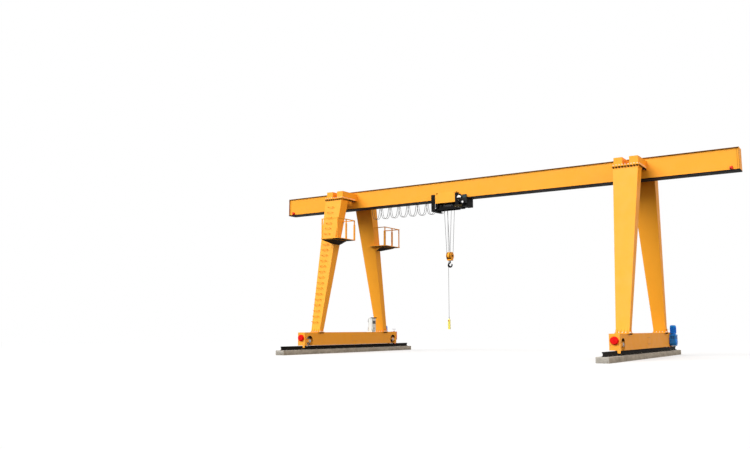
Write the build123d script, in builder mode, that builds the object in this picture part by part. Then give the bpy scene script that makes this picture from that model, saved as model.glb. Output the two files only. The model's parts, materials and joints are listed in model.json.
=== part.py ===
import os
from math import hypot, radians, tan

from build123d import *

os.makedirs("parts", exist_ok=True)

# Layout of the crane: X along the girder, Y along the runway, Z up from the ground
span = 16000.0
girder_length = 24800.0
girder_top = 9000.0
girder_depth = 1000.0
side_x = span / 2
running_gap = 5.0
contact_gap = 0.3
cut_over = 10.0

# Concrete beams and rails
plinth_length = 12200.0
plinth_width = 520.0
plinth_height = 235.0
plinth_edge = 15.0
plinth_joint_y = 4300.0
plinth_joint_gap = 12.0
rail_length = 12000.0
rail_height = 190.0
rail_foot_width = 170.0
rail_foot_thickness = 24.0
rail_web = 28.0
rail_head_width = 80.0
rail_head_height = 45.0
rail_top = plinth_height + rail_height

# Travel wheels
wheel_diameter = 500.0
wheel_tread_width = rail_head_width + 2 * running_gap
wheel_flange_width = 22.0
wheel_flange_height = 25.0
wheel_web_width = 40.0
wheel_rim_depth = 45.0
wheel_hub_diameter = 190.0
axle_diameter = 90.0
axle_clearance = 0.05
axle_z = rail_top + contact_gap + wheel_diameter / 2
wheel_width = wheel_tread_width + 2 * wheel_flange_width

# End carriages
carriage_length = 8840.0
wheel_inset = 400.0
wheel_y = carriage_length / 2 - wheel_inset
carriage_width = 450.0
carriage_height = 670.0
carriage_rail_gap = 15.0
carriage_bottom = rail_top + carriage_rail_gap
carriage_top = carriage_bottom + carriage_height
pocket_radius = wheel_diameter / 2 + wheel_flange_height + 40.0
pocket_width = wheel_width + 50.0
window_radius = wheel_diameter / 2 + 15.0
boss_radius = 105.0
boss_arm_height = 150.0
sweeper_width = 125.0
sweeper_height = 230.0
sweeper_drop = 105.0
sweeper_thickness = 15.0
axle_end_gap = 0.3

# Buffers on the carriage ends
buffer_z = 835.0
buffer_radius = 165.0
buffer_length = 110.0
buffer_edge = 30.0
rear_buffer_radius = 95.0

# Screw rail clamp at the far end of each carriage
clamp_width = 280.0
clamp_length = 210.0
clamp_bottom_z = 640.0
clamp_top_z = 1120.0
jaw_thickness = 26.0
jaw_length = 130.0
jaw_drop_z = 388.0
screw_diameter = 32.0
screw_depth = 200.0
screw_top_z = 1270.0
handle_diameter = 26.0
handle_length = 320.0

# Travel drive on the outer side of each carriage
gearbox_width = 290.0
gearbox_radius = 200.0
gearbox_top_z = 1020.0
gearbox_shift_y = 60.0
motor_diameter = 270.0
motor_bottom_z = 1075.0
motor_top_z = 1470.0
motor_neck_diameter = 190.0
terminal_box_width = 110.0
terminal_box_height = 150.0
terminal_box_reach = 60.0

# Legs
leg_foot_width = 550.0
leg_foot_depth = 330.0
leg_foot_outer_y = 3270.0
leg_head_width = 1100.0
leg_head_outer_y = 1730.0
leg_head_depth = 614.0
leg_joint_z = 8460.0
flange_thickness = 25.0
flange_reach = 50.0
leg_bottom_z = carriage_top + flange_thickness
leg_top_z = leg_joint_z - flange_thickness

# Head brackets between the legs and the girder
bracket_width = 385.0
bracket_spacing = 685.0
bracket_top_z = 8860.0
bracket_front_y = 1640.0
bracket_flange_inner_y = 490.0

# Main girder
web_width = 500.0
flange_width = 640.0
top_flange_thickness = 20.0
track_thickness = 45.0
end_plate_thickness = 12.0
end_plate_width = 610.0
track_top_z = girder_top - girder_depth + track_thickness
track_bottom_z = girder_top - girder_depth
end_stop_inset = 320.0
end_stop_x = girder_length / 2 - end_stop_inset
end_stop_radius = 55.0
end_stop_length = 90.0
end_stop_plate = 20.0
end_stop_width = 105.0
end_stop_height = 170.0

# Step irons on the outer faces of the left legs
rung_width = 330.0
rung_bar = 22.0
rung_reach = 130.0
rung_pitch = 300.0
rung_count = 22
rung_first_z = 1650.0
rung_offset_x = -90.0

# Platforms at the left legs
deck_z = 6050.0
deck_thickness = 40.0
deck_outer_y = 3110.0
deck_inner_y = 1500.0
deck_near_x = 200.0
deck_far_x = 1310.0
hopper_drop = 215.0
hopper_lip = 35.0
hopper_top_near_x = 210.0
hopper_top_far_x = 915.0
hopper_top_inner_y = 1760.0
hopper_top_inset_y = 50.0
hopper_foot_near_x = 400.0
hopper_foot_far_x = 500.0
hopper_foot_inner_y = 1800.0
hopper_foot_outer_y = 2330.0

# Railings around the platforms
post_height = 1070.0
post_width = 80.0
post_thickness = 30.0
rail_tube = 42.0

# Control cabinet on the left carriage
cabinet_depth = 250.0
cabinet_width = 380.0
cabinet_height = 800.0
cabinet_y = 1940.0
cabinet_face_x = 225.0
door_thickness = 22.0
door_margin = 18.0
door_bottom_gap = 90.0
canopy_thickness = 30.0
canopy_reach = 90.0
canopy_post = 20.0
hinge_pin_diameter = 14.0
hinge_barrel_diameter = 30.0
hinge_clearance = 0.05
hinge_height = 90.0
hinge_share = 0.3

# Cable track on the far side of the girder
track_rail_y = 500.0
track_rail_width = 60.0
track_rail_height = 60.0
track_rail_wall = 8.0
track_rail_bottom_z = 8360.0
track_rail_start_x = -7000.0
track_rail_end_inset = 500.0
track_rail_end_x = girder_length / 2 - track_rail_end_inset
track_slot_width = 22.0
hanger_width = 60.0
hanger_thickness = 20.0
hanger_pitch = 2000.0
hanger_skip = 800.0

# Cable carriers and the looped cable
loop_count = 8
towed_x = -2150.0
loop_pitch = 594.0
fixed_x = towed_x - loop_count * loop_pitch
carrier_length = 90.0
carrier_width = 44.0
carrier_height = 50.0
carrier_gap = 8.0
saddle_radius = 42.0
saddle_width = 232.0
saddle_bottom_z = 8230.0
cable_diameter = 30.0
cable_offset = 25.0
cable_spread = 95.0
loop_depth = 800.0
loop_width_shares = (1.0, 1.0, 0.88, 0.68, 0.29)
loop_depth_shares = (0.0, 0.17, 0.5, 0.85, 1.0)
arc_share = 0.45

# Trolley with the wire rope hoist, about the hook line
hoist_x = -1690.0
frame_plate_thickness = 30.0
frame_inner_y = 345.0
frame_top_z = 8330.0
left_frame_near = 660.0
left_frame_far = 880.0
left_frame_bottom_z = 7440.0
right_frame_near = 530.0
right_frame_far = 750.0
right_frame_bottom_z = 7550.0
cross_beam_height = 150.0
panel_thickness = 15.0
panel_bottom_z = 7850.0
panel_top_z = 8410.0
panel_inner_y = 340.0
pin_diameter = 44.0
pin_reach = 15.0
pin_inset = 60.0
bogie_wheel_diameter = 160.0
bogie_flange_width = 12.0
bogie_flange_height = 12.0
bogie_web_gap = 8.0
bogie_axle_diameter = 40.0

# Hoist frame, drum, motor and control box
drum_z = 7720.0
drum_radius = 160.0
drum_flange_radius = 205.0
drum_flange_thickness = 20.0
drum_half_length = 440.0
drum_shaft_diameter = 70.0
drum_groove_depth = 6.0
drum_groove_count = 14
drum_plain_end = 60.0
hoist_plate_thickness = 25.0
hoist_plate_width = 520.0
hoist_plate_top_z = 7940.0
hoist_plate_bottom_z = 7505.0
hoist_plate_gap = 10.0
side_beam_height = 140.0
side_beam_thickness = 30.0
hoist_gear_radius = 145.0
hoist_gear_thickness = 32.0
hoist_motor_z = 7845.0
hoist_motor_diameter = 240.0
hoist_motor_end = 900.0
motor_cap_length = 60.0
motor_cap_edge = 20.0
control_box_start = 930.0
control_box_end = 1220.0
control_box_width = 700.0
control_box_bottom_z = 7570.0
control_box_top_z = 8000.0
control_box_edge = 12.0
bearer_y = 230.0
bearer_width = 50.0
bearer_height = 60.0
travel_gear_x = 800.0
travel_gear_z = 8040.0
travel_gear_radius = 135.0
travel_gear_thickness = 40.0
travel_cover_radius = 118.0
travel_cover_thickness = 8.0
travel_motor_x = 1030.0
travel_motor_z = 7785.0
travel_motor_diameter = 190.0
travel_motor_reach = 90.0
drive_housing_near = 985.0
drive_housing_far = 1230.0
drive_housing_bottom_z = 7720.0
drive_housing_top_z = 8180.0
drive_housing_depth = 55.0
anchor_width = 70.0
anchor_height = 75.0

# Ropes and hook block
rope_diameter = 20.0
rope_top_x = 220.0
rope_low_x = 85.0
sheave_z = 5070.0
sheave_radius = 160.0
sheave_flange_radius = 184.0
sheave_width = 42.0
sheave_groove_width = 20.0
sheave_lip = 6.0
pin_shaft_diameter = 60.0
block_width = 260.0
block_radius = 205.0
block_bottom_z = 4830.0
block_neck_width = 230.0
block_slot_width = 50.0
block_slot_gap = 6.0
block_edge = 8.0
window_width = 96.0
window_height = 90.0
crosshead_thickness = 60.0
rope_y = drum_radius + rope_diameter / 2 + contact_gap
shank_diameter = 60.0
nut_radius = 42.0
nut_height = 45.0
nut_sides = 6
hook_centre_z = 4590.0
hook_outer_radius = 135.0
hook_inner_radius = 72.0
hook_inner_shift = 20.0
hook_mouth_low = 60.0
hook_neck_width = 70.0
hook_neck_top = 195.0
hook_thickness = 76.0
hook_edge = 14.0

# Pendant control
pendant_x = -2115.0
pendant_y = 620.0
pendant_cable_diameter = 20.0
pendant_arm_z = 7600.0
pendant_arm_height = 60.0
pendant_arm_width = 40.0
pendant_arm_overhang = 30.0
tow_clamp_height = 60.0
pendant_top_z = 1780.0
pendant_bottom_z = 1270.0
pendant_width = 115.0
pendant_depth = 95.0
pendant_edge = 20.0
gland_height = 60.0
gland_diameter = 44.0


def write(part, name):
    part.label = name
    export_step(part, f"parts/{name}.step")


def placed(part, x, mirrored=False):
    turned = mirror(part, about=Plane.XZ) if mirrored else part
    return turned.moved(Location((x, 0, 0)))


def round_bar(start, end, radius):
    """A round bar from one point to another."""
    line = Edge.make_line(start, end)
    with BuildPart() as bar:
        with BuildSketch(Plane(origin=start, z_dir=line % 0)):
            Circle(radius)
        extrude(amount=line.length)
    return bar.part


def leg_line_y(z):
    """Outer face of a leg, as a distance from the girder's middle."""
    share = (z - leg_bottom_z) / (leg_top_z - leg_bottom_z)
    return leg_foot_outer_y + (leg_head_outer_y - leg_foot_outer_y) * share


# Concrete beams with a joint between two blocks
with BuildPart() as plinth:
    with BuildSketch(Plane.XY):
        Rectangle(plinth_width, plinth_length)
    extrude(amount=plinth_height)
    chamfer(plinth.edges().group_by(Axis.Z)[-1], length=plinth_edge)
    with BuildSketch(Plane.XY.offset(-cut_over)):
        with Locations((0, plinth_joint_y)):
            Rectangle(plinth_width + 2 * cut_over, plinth_joint_gap)
    extrude(amount=plinth_height + 2 * cut_over, mode=Mode.SUBTRACT)

# Crane rail with head, web and foot
with BuildPart() as rail:
    with BuildSketch(Plane.XZ.offset(-rail_length / 2)):
        with BuildLine():
            foot_slope = rail_foot_thickness / 2
            head_low = rail_height - rail_head_height
            Polyline(
                (0, 0),
                (rail_foot_width / 2, 0),
                (rail_foot_width / 2, foot_slope),
                (rail_web / 2, rail_foot_thickness),
                (rail_web / 2, head_low - foot_slope),
                (rail_head_width / 2, head_low),
                (rail_head_width / 2, rail_height),
                (0, rail_height),
            )
            mirror(about=Plane.YZ)
        make_face()
    extrude(amount=rail_length)

rail_part = rail.part.moved(Location((0, 0, plinth_height)))
for side, x in (("left", -side_x), ("right", side_x)):
    write(placed(plinth.part, x), f"{side}_plinth")
    write(placed(rail_part, x), f"{side}_rail")

# Double-flanged travel wheel with its axle
wheel_radius = wheel_diameter / 2
with BuildPart() as wheel:
    with BuildSketch(Plane.XZ):
        with BuildLine():
            axle_half = carriage_width / 2 - axle_end_gap
            hub_half = wheel_width / 2
            rim_half = wheel_width / 2
            rim_inner = wheel_radius - wheel_rim_depth
            Polyline(
                (0, 0),
                (axle_half, 0),
                (axle_half, axle_diameter / 2),
                (hub_half, axle_diameter / 2),
                (hub_half, wheel_hub_diameter / 2),
                (wheel_web_width / 2, wheel_hub_diameter / 2),
                (wheel_web_width / 2, rim_inner),
                (rim_half, rim_inner),
                (rim_half, wheel_radius + wheel_flange_height),
                (wheel_tread_width / 2, wheel_radius + wheel_flange_height),
                (wheel_tread_width / 2, wheel_radius),
                (0, wheel_radius),
            )
            mirror(about=Plane.YZ)
        make_face()
    revolve(axis=Axis.X)

for end, y in (("front", -wheel_y), ("rear", wheel_y)):
    for side, x in (("left", -side_x), ("right", side_x)):
        write(wheel.part.moved(Location((x, y, axle_z))), f"{end}_{side}_wheel")

# End carriage with wheel pockets, axle bosses and a rail sweeper
with BuildPart() as carriage:
    with BuildSketch(Plane.XY.offset(carriage_bottom)):
        Rectangle(carriage_width, carriage_length)
    extrude(amount=carriage_height)
    with BuildSketch(Plane.YZ.offset(-pocket_width / 2)):
        with Locations((-wheel_y, axle_z), (wheel_y, axle_z)):
            Circle(pocket_radius)
    extrude(amount=pocket_width, mode=Mode.SUBTRACT)
    with BuildSketch(Plane.YZ.offset(-carriage_width / 2 - cut_over)):
        for end in (-1, 1):
            with Locations((end * wheel_y, axle_z)):
                Circle(window_radius)
                Circle(boss_radius, mode=Mode.SUBTRACT)
            with Locations((end * (wheel_y + window_radius / 2), axle_z)):
                Rectangle(window_radius, boss_arm_height, mode=Mode.SUBTRACT)
    extrude(amount=carriage_width + 2 * cut_over, mode=Mode.SUBTRACT)
    with BuildSketch(Plane.YZ.offset(-carriage_width / 2 - cut_over)):
        with Locations((-wheel_y, axle_z), (wheel_y, axle_z)):
            Circle(axle_diameter / 2 + axle_clearance)
    extrude(amount=carriage_width + 2 * cut_over, mode=Mode.SUBTRACT)
    sweeper_x = carriage_width / 2 - sweeper_width / 2
    sweeper_z = carriage_bottom - sweeper_drop + sweeper_height / 2
    with BuildSketch(Plane.XZ.offset(carriage_length / 2)):
        with Locations((sweeper_x, sweeper_z)):
            Rectangle(sweeper_width, sweeper_height)
    extrude(amount=sweeper_thickness)

for side, x in (("left", -side_x), ("right", side_x)):
    write(placed(carriage.part, x), f"{side}_carriage")

# Round rubber buffers: on the near carriage ends and on the rail clamps
rear_buffer_y = carriage_length / 2 + clamp_length


def buffer_disc(radius):
    with BuildPart() as disc:
        with BuildSketch(Plane.XZ):
            Circle(radius)
        extrude(amount=buffer_length)
        chamfer(disc.edges().group_by(Axis.Y)[0], length=buffer_edge)
    return disc.part


front_buffer = buffer_disc(buffer_radius)
rear_buffer = mirror(buffer_disc(rear_buffer_radius), about=Plane.XZ)
front_pair = [front_buffer.moved(Location((x, -carriage_length / 2, buffer_z))) for x in (-side_x, side_x)]
rear_pair = [rear_buffer.moved(Location((x, rear_buffer_y, buffer_z))) for x in (-side_x, side_x)]
write(Compound(front_pair + rear_pair), "buffers")

# Screw rail clamp: housing, two jaws beside the rail head, screw and cross handle
clamp_y = carriage_length / 2 + clamp_length / 2
with BuildPart() as clamp:
    with BuildSketch(Plane.XY.offset(clamp_bottom_z)):
        with Locations((0, clamp_y)):
            Rectangle(clamp_width, clamp_length)
    extrude(amount=clamp_top_z - clamp_bottom_z)
    jaw_x = rail_head_width / 2 + running_gap + jaw_thickness / 2
    with BuildSketch(Plane.XY.offset(jaw_drop_z)):
        with Locations((-jaw_x, clamp_y), (jaw_x, clamp_y)):
            Rectangle(jaw_thickness, jaw_length)
    extrude(amount=clamp_bottom_z - jaw_drop_z)
    with BuildSketch(Plane.XY.offset(clamp_top_z - screw_depth - contact_gap)):
        with Locations((0, clamp_y)):
            Circle(screw_diameter / 2 + axle_clearance)
    extrude(amount=screw_depth + contact_gap + cut_over, mode=Mode.SUBTRACT)

with BuildPart() as clamp_handle:
    with BuildSketch(Plane.XY.offset(clamp_top_z - screw_depth)):
        with Locations((0, clamp_y)):
            Circle(screw_diameter / 2)
    extrude(amount=screw_depth + screw_top_z - clamp_top_z)
    with BuildSketch(Plane.XZ.offset(-clamp_y - handle_length / 2)):
        with Locations((0, screw_top_z)):
            Circle(handle_diameter / 2)
    extrude(amount=handle_length)

for side, x in (("left", -side_x), ("right", side_x)):
    write(placed(clamp.part, x), f"{side}_rail_clamp")
    write(placed(clamp_handle.part, x), f"{side}_clamp_handle")

# Travel drive: gearbox on the wheel axle with an upright motor
drive_y = wheel_y + gearbox_shift_y
with BuildPart() as drive:
    with BuildSketch(Plane.YZ.offset(carriage_width / 2)):
        with Locations((drive_y, axle_z)):
            Circle(gearbox_radius)
        with Locations((drive_y, (axle_z + gearbox_top_z) / 2)):
            Rectangle(2 * gearbox_radius, gearbox_top_z - axle_z)
    extrude(amount=gearbox_width)
    motor_x = carriage_width / 2 + gearbox_width / 2
    with BuildSketch(Plane.XY.offset(gearbox_top_z)):
        with Locations((motor_x, drive_y)):
            Circle(motor_neck_diameter / 2)
    extrude(amount=motor_bottom_z - gearbox_top_z)
    with BuildSketch(Plane.XY.offset(motor_bottom_z)):
        with Locations((motor_x, drive_y)):
            Circle(motor_diameter / 2)
    extrude(amount=motor_top_z - motor_bottom_z)
    chamfer(drive.faces().sort_by(Axis.Z)[-1].edges(), length=buffer_edge)
    terminal_y = drive_y + motor_diameter / 2
    with BuildSketch(Plane.XY.offset(motor_bottom_z + buffer_edge)):
        with Locations((motor_x, terminal_y)):
            Rectangle(terminal_box_width, 2 * terminal_box_reach)
    extrude(amount=terminal_box_height)

write(placed(drive.part, side_x), "right_drive")
write(mirror(drive.part, about=Plane.YZ).moved(Location((-side_x, 0, 0))), "left_drive")

# Tapered box leg of the near side, with foot and head flanges
with BuildPart() as leg:
    with BuildSketch(Plane.YZ.offset(-leg_head_width / 2)):
        with BuildLine():
            Polyline(
                (-leg_foot_outer_y, leg_bottom_z),
                (-leg_head_outer_y, leg_top_z),
                (-leg_head_outer_y + leg_head_depth, leg_top_z),
                (-leg_foot_outer_y + leg_foot_depth, leg_bottom_z),
                close=True,
            )
        make_face()
    extrude(amount=leg_head_width)
    with BuildSketch(Plane.XZ.offset(leg_foot_outer_y + cut_over)):
        with BuildLine():
            Polyline(
                (-leg_foot_width / 2, leg_bottom_z),
                (leg_foot_width / 2, leg_bottom_z),
                (leg_head_width / 2, leg_top_z),
                (-leg_head_width / 2, leg_top_z),
                close=True,
            )
        make_face()
    extrude(amount=-leg_foot_outer_y - 2 * cut_over, mode=Mode.INTERSECT)

foot_y = -leg_foot_outer_y + leg_foot_depth / 2
head_length = leg_head_outer_y - bracket_flange_inner_y
head_y = -(leg_head_outer_y + bracket_flange_inner_y) / 2
with BuildPart() as dressed_leg:
    add(leg.part)
    with BuildSketch(Plane.XY.offset(carriage_top)):
        with Locations((0, foot_y)):
            Rectangle(leg_foot_width + 2 * flange_reach, leg_foot_depth + 2 * flange_reach)
    extrude(amount=flange_thickness)
    with BuildSketch(Plane.XY.offset(leg_top_z)):
        with Locations((0, head_y)):
            Rectangle(leg_head_width + 2 * flange_reach, head_length)
    extrude(amount=flange_thickness)

for side, x in (("left", -side_x), ("right", side_x)):
    write(placed(dressed_leg.part, x), f"{side}_front_leg")
    write(placed(dressed_leg.part, x, True), f"{side}_rear_leg")

# Head brackets: two box beams from each leg head to the girder's web
with BuildPart() as bracket:
    beam_length = bracket_front_y - web_width / 2
    beam_y = -(bracket_front_y + web_width / 2) / 2
    with BuildSketch(Plane.XY.offset(leg_joint_z)):
        with Locations((0, head_y)):
            Rectangle(leg_head_width + 2 * flange_reach, head_length)
    extrude(amount=flange_thickness)
    with BuildSketch(Plane.XY.offset(leg_joint_z)):
        with Locations((-bracket_spacing / 2, beam_y), (bracket_spacing / 2, beam_y)):
            Rectangle(bracket_width, beam_length)
    extrude(amount=bracket_top_z - leg_joint_z)

for side, x in (("left", -side_x), ("right", side_x)):
    pair = Compound([placed(bracket.part, x), placed(bracket.part, x, True)])
    write(pair, f"{side}_head_brackets")

# Main girder: box body with a wider top flange and closing end plates
with BuildPart() as girder:
    body_height = girder_top - track_top_z
    with BuildSketch(Plane.XY.offset(track_top_z)):
        Rectangle(girder_length, web_width)
    extrude(amount=body_height)
    with BuildSketch(Plane.XY.offset(girder_top - top_flange_thickness)):
        Rectangle(girder_length, flange_width)
    extrude(amount=top_flange_thickness)
    with BuildSketch(Plane.XY.offset(track_top_z)):
        end_x = girder_length / 2 - end_plate_thickness / 2
        with Locations((-end_x, 0), (end_x, 0)):
            Rectangle(end_plate_thickness, end_plate_width)
    extrude(amount=body_height)
write(girder.part, "main_girder")

# Running track: the bottom flange that the trolley hangs from
with BuildPart() as track:
    with BuildSketch(Plane.XY.offset(track_bottom_z)):
        Rectangle(girder_length, flange_width)
    extrude(amount=track_thickness)
write(track.part, "track_flange")

# End stops with a round rubber at each end of both webs
stop_z = track_top_z + end_stop_height / 2
with BuildPart() as end_stops:
    for end in (-1, 1):
        for face in (-1, 1):
            stop_y = face * (web_width / 2 + end_stop_width / 2)
            with BuildSketch(Plane.YZ.offset(end * end_stop_x)):
                with Locations((stop_y, stop_z)):
                    Rectangle(end_stop_width, end_stop_height)
            extrude(amount=end * end_stop_plate)
            with BuildSketch(Plane.YZ.offset(end * end_stop_x)):
                with Locations((stop_y, stop_z)):
                    Circle(end_stop_radius * min(1.0, end_stop_width / (2 * end_stop_radius)))
            extrude(amount=-end * end_stop_length)
write(end_stops.part, "trolley_end_stops")

# Step irons on the outer face of a left leg
outer_slope = (leg_foot_outer_y - leg_head_outer_y) / (leg_top_z - leg_bottom_z)
face_normal = Vector(0, -1, outer_slope).normalized()
rung_mid_z = rung_first_z + rung_pitch * (rung_count - 1) / 2
rung_origin = (rung_offset_x, -leg_line_y(rung_mid_z), rung_mid_z)
rung_plane = Plane(origin=rung_origin, x_dir=(1, 0, 0), z_dir=face_normal)
slant_pitch = rung_pitch * hypot(1, outer_slope)
with BuildPart() as rungs:
    with BuildSketch(rung_plane):
        with GridLocations(rung_width, slant_pitch, 2, rung_count):
            Rectangle(rung_bar, rung_bar)
    extrude(amount=rung_reach)
    with BuildSketch(rung_plane.offset(rung_reach - rung_bar)):
        with GridLocations(rung_width, slant_pitch, 1, rung_count):
            Rectangle(rung_width + rung_bar, rung_bar)
    extrude(amount=rung_bar)
write(placed(rungs.part, -side_x), "front_leg_rungs")
write(placed(rungs.part, -side_x, True), "rear_leg_rungs")

# Platform around the outer and inner faces of a left leg, on a tapered bracket
with BuildPart() as platform:
    deck_x = (deck_near_x + deck_far_x) / 2
    deck_y = -(deck_inner_y + deck_outer_y) / 2
    with BuildSketch(Plane.XY.offset(deck_z)):
        with Locations((deck_x, deck_y)):
            Rectangle(deck_far_x - deck_near_x, deck_outer_y - deck_inner_y)
    extrude(amount=deck_thickness)
    hopper_foot_x = (hopper_foot_near_x + hopper_foot_far_x) / 2
    hopper_foot_y = -(hopper_foot_inner_y + hopper_foot_outer_y) / 2
    hopper_x = (hopper_top_near_x + hopper_top_far_x) / 2
    hopper_outer_y = deck_outer_y - hopper_top_inset_y
    hopper_length = hopper_outer_y - hopper_top_inner_y
    hopper_y = -(hopper_outer_y + hopper_top_inner_y) / 2
    with BuildSketch(Plane.XY.offset(deck_z - hopper_drop)):
        with Locations((hopper_foot_x, hopper_foot_y)):
            Rectangle(hopper_foot_far_x - hopper_foot_near_x, hopper_foot_outer_y - hopper_foot_inner_y)
    with BuildSketch(Plane.XY.offset(deck_z - hopper_lip)):
        with Locations((hopper_x, hopper_y)):
            Rectangle(hopper_top_far_x - hopper_top_near_x, hopper_length)
    loft()
    with BuildSketch(Plane.XY.offset(deck_z - hopper_lip)):
        with Locations((hopper_x, hopper_y)):
            Rectangle(hopper_top_far_x - hopper_top_near_x, hopper_length)
    extrude(amount=hopper_lip)
    add(leg.part, mode=Mode.SUBTRACT)
write(placed(platform.part, -side_x), "front_platform")
write(placed(platform.part, -side_x, True), "rear_platform")

# Railing on three sides of a platform
deck_top = deck_z + deck_thickness
rail_z = deck_top + post_height
edge_inset = post_width / 2
outer_rail_y = -(deck_outer_y - edge_inset)
inner_rail_y = -(deck_inner_y + edge_inset)
near_rail_x = deck_near_x + edge_inset
far_rail_x = deck_far_x - edge_inset
with BuildPart() as railing:
    with BuildSketch(Plane.XY.offset(deck_top)):
        mid_y = (outer_rail_y + inner_rail_y) / 2
        with Locations((far_rail_x, outer_rail_y), (far_rail_x, mid_y), (far_rail_x, inner_rail_y)):
            Rectangle(post_thickness, post_width)
        with Locations((near_rail_x, outer_rail_y)):
            Rectangle(post_width, post_thickness)
    extrude(amount=post_height)
    rail_run = far_rail_x - near_rail_x + post_width
    with BuildSketch(Plane.XY.offset(rail_z - rail_tube)):
        with Locations(((near_rail_x + far_rail_x) / 2, outer_rail_y)):
            Rectangle(rail_run, rail_tube)
        with Locations((far_rail_x, mid_y)):
            Rectangle(rail_tube, inner_rail_y - outer_rail_y)
        leg_face_x = leg_head_width / 2
        with Locations(((leg_foot_width / 2 + far_rail_x) / 2, inner_rail_y)):
            Rectangle(far_rail_x - leg_foot_width / 2 + rail_tube, rail_tube)
    extrude(amount=rail_tube)
    add(leg.part, mode=Mode.SUBTRACT)
railing_main = railing.part.solids().sort_by(SortBy.VOLUME)[-1]
write(placed(railing_main, -side_x), "front_railing")
write(placed(railing_main, -side_x, True), "rear_railing")

# Control cabinet with a rain canopy, and its hinged door
cabinet_x = -side_x + cabinet_face_x - cabinet_depth / 2
door_face_x = -side_x + cabinet_face_x
hinge_radius = hinge_barrel_diameter / 2
hinge_x = door_face_x + hinge_radius
hinge_y = cabinet_y - cabinet_width / 2 - hinge_radius
cabinet_mid_z = carriage_top + cabinet_height / 2
hinge_zs = [cabinet_mid_z - cabinet_height * hinge_share, cabinet_mid_z + cabinet_height * hinge_share]
with BuildPart() as cabinet:
    with BuildSketch(Plane.XY.offset(carriage_top)):
        with Locations((cabinet_x, cabinet_y)):
            Rectangle(cabinet_depth, cabinet_width)
    extrude(amount=cabinet_height)
    canopy_x = cabinet_x + canopy_reach / 2
    with BuildSketch(Plane.XY.offset(carriage_top + cabinet_height)):
        with Locations((canopy_x, cabinet_y)):
            Rectangle(cabinet_depth + canopy_reach, cabinet_width + 2 * canopy_post)
    extrude(amount=canopy_thickness)
    for z in hinge_zs:
        with BuildSketch(Plane.XY.offset(z - hinge_height / 2)):
            with Locations((hinge_x, hinge_y)):
                Circle(hinge_pin_diameter / 2)
        extrude(amount=hinge_height)
        with BuildSketch(Plane.XY.offset(z - hinge_height / 2)):
            with Locations((hinge_x, hinge_y)):
                Circle(hinge_radius)
            with Locations((hinge_x - hinge_radius, hinge_y)):
                Rectangle(2 * hinge_radius, hinge_radius)
            with Locations((door_face_x - hinge_radius, hinge_y + hinge_radius / 2)):
                Rectangle(hinge_radius, 2 * hinge_radius)
        extrude(amount=hinge_height / 2 - running_gap / 2)
write(cabinet.part, "control_cabinet")

with BuildPart() as door:
    door_low = carriage_top + door_bottom_gap
    door_width = cabinet_width - 2 * door_margin
    with BuildSketch(Plane.XY.offset(door_low)):
        with Locations((door_face_x + running_gap + door_thickness / 2, cabinet_y)):
            Rectangle(door_thickness, door_width)
    extrude(amount=cabinet_height - door_bottom_gap - door_margin)
    for z in hinge_zs:
        with BuildSketch(Plane.XY.offset(z + running_gap / 2)):
            with Locations((hinge_x, hinge_y)):
                Circle(hinge_radius)
            arm_end_y = cabinet_y - door_width / 2 + hinge_radius
            with Locations((hinge_x + hinge_radius / 2, (hinge_y + arm_end_y) / 2)):
                Rectangle(hinge_radius, arm_end_y - hinge_y)
        extrude(amount=hinge_height / 2 - running_gap / 2)
        with BuildSketch(Plane.XY.offset(z)):
            with Locations((hinge_x, hinge_y)):
                Circle(hinge_pin_diameter / 2 + hinge_clearance)
        extrude(amount=hinge_height, mode=Mode.SUBTRACT)
write(door.part, "cabinet_door")

# Cable track: a slotted channel on hangers from the girder's far web
with BuildPart() as cable_track:
    track_run = track_rail_end_x - track_rail_start_x
    track_mid_z = track_rail_bottom_z + track_rail_height / 2
    with BuildSketch(Plane.YZ.offset(track_rail_start_x)):
        with Locations((track_rail_y, track_mid_z)):
            Rectangle(track_rail_width, track_rail_height)
            inner = track_rail_width - 2 * track_rail_wall
            Rectangle(inner, track_rail_height - 2 * track_rail_wall, mode=Mode.SUBTRACT)
        with Locations((track_rail_y, track_rail_bottom_z)):
            Rectangle(track_slot_width, 4 * track_rail_wall, mode=Mode.SUBTRACT)
    extrude(amount=track_run)
    hanger_z = track_rail_bottom_z + track_rail_height
    hanger_reach = track_rail_y + track_rail_width / 2 - web_width / 2
    first_hanger_x = track_rail_start_x + hanger_width
    hanger_xs = [first_hanger_x + hanger_pitch * i for i in range(int(track_run / hanger_pitch) + 1)]
    clear_xs = [x for x in hanger_xs if abs(abs(x) - side_x) > hanger_skip]
    with BuildSketch(Plane.XY.offset(hanger_z)):
        with Locations(*[(x, web_width / 2 + hanger_reach / 2) for x in clear_xs]):
            Rectangle(hanger_width, hanger_reach)
    extrude(amount=hanger_thickness)
    with BuildSketch(Plane.XY.offset(saddle_bottom_z)):
        with Locations((fixed_x, track_rail_y)):
            Rectangle(carrier_length, saddle_width)
    extrude(amount=track_rail_bottom_z - saddle_bottom_z)
write(cable_track.part, "cable_track")

# Cable carriers: trolley in the track, neck through its slot and a saddle that grips the cable
carrier_top_z = track_rail_bottom_z - carrier_gap
inner_height = track_rail_height - 2 * track_rail_wall - 2 * running_gap
inner_width = track_rail_width - 2 * track_rail_wall - 2 * running_gap
neck_height = carrier_gap + track_rail_wall + running_gap


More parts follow.
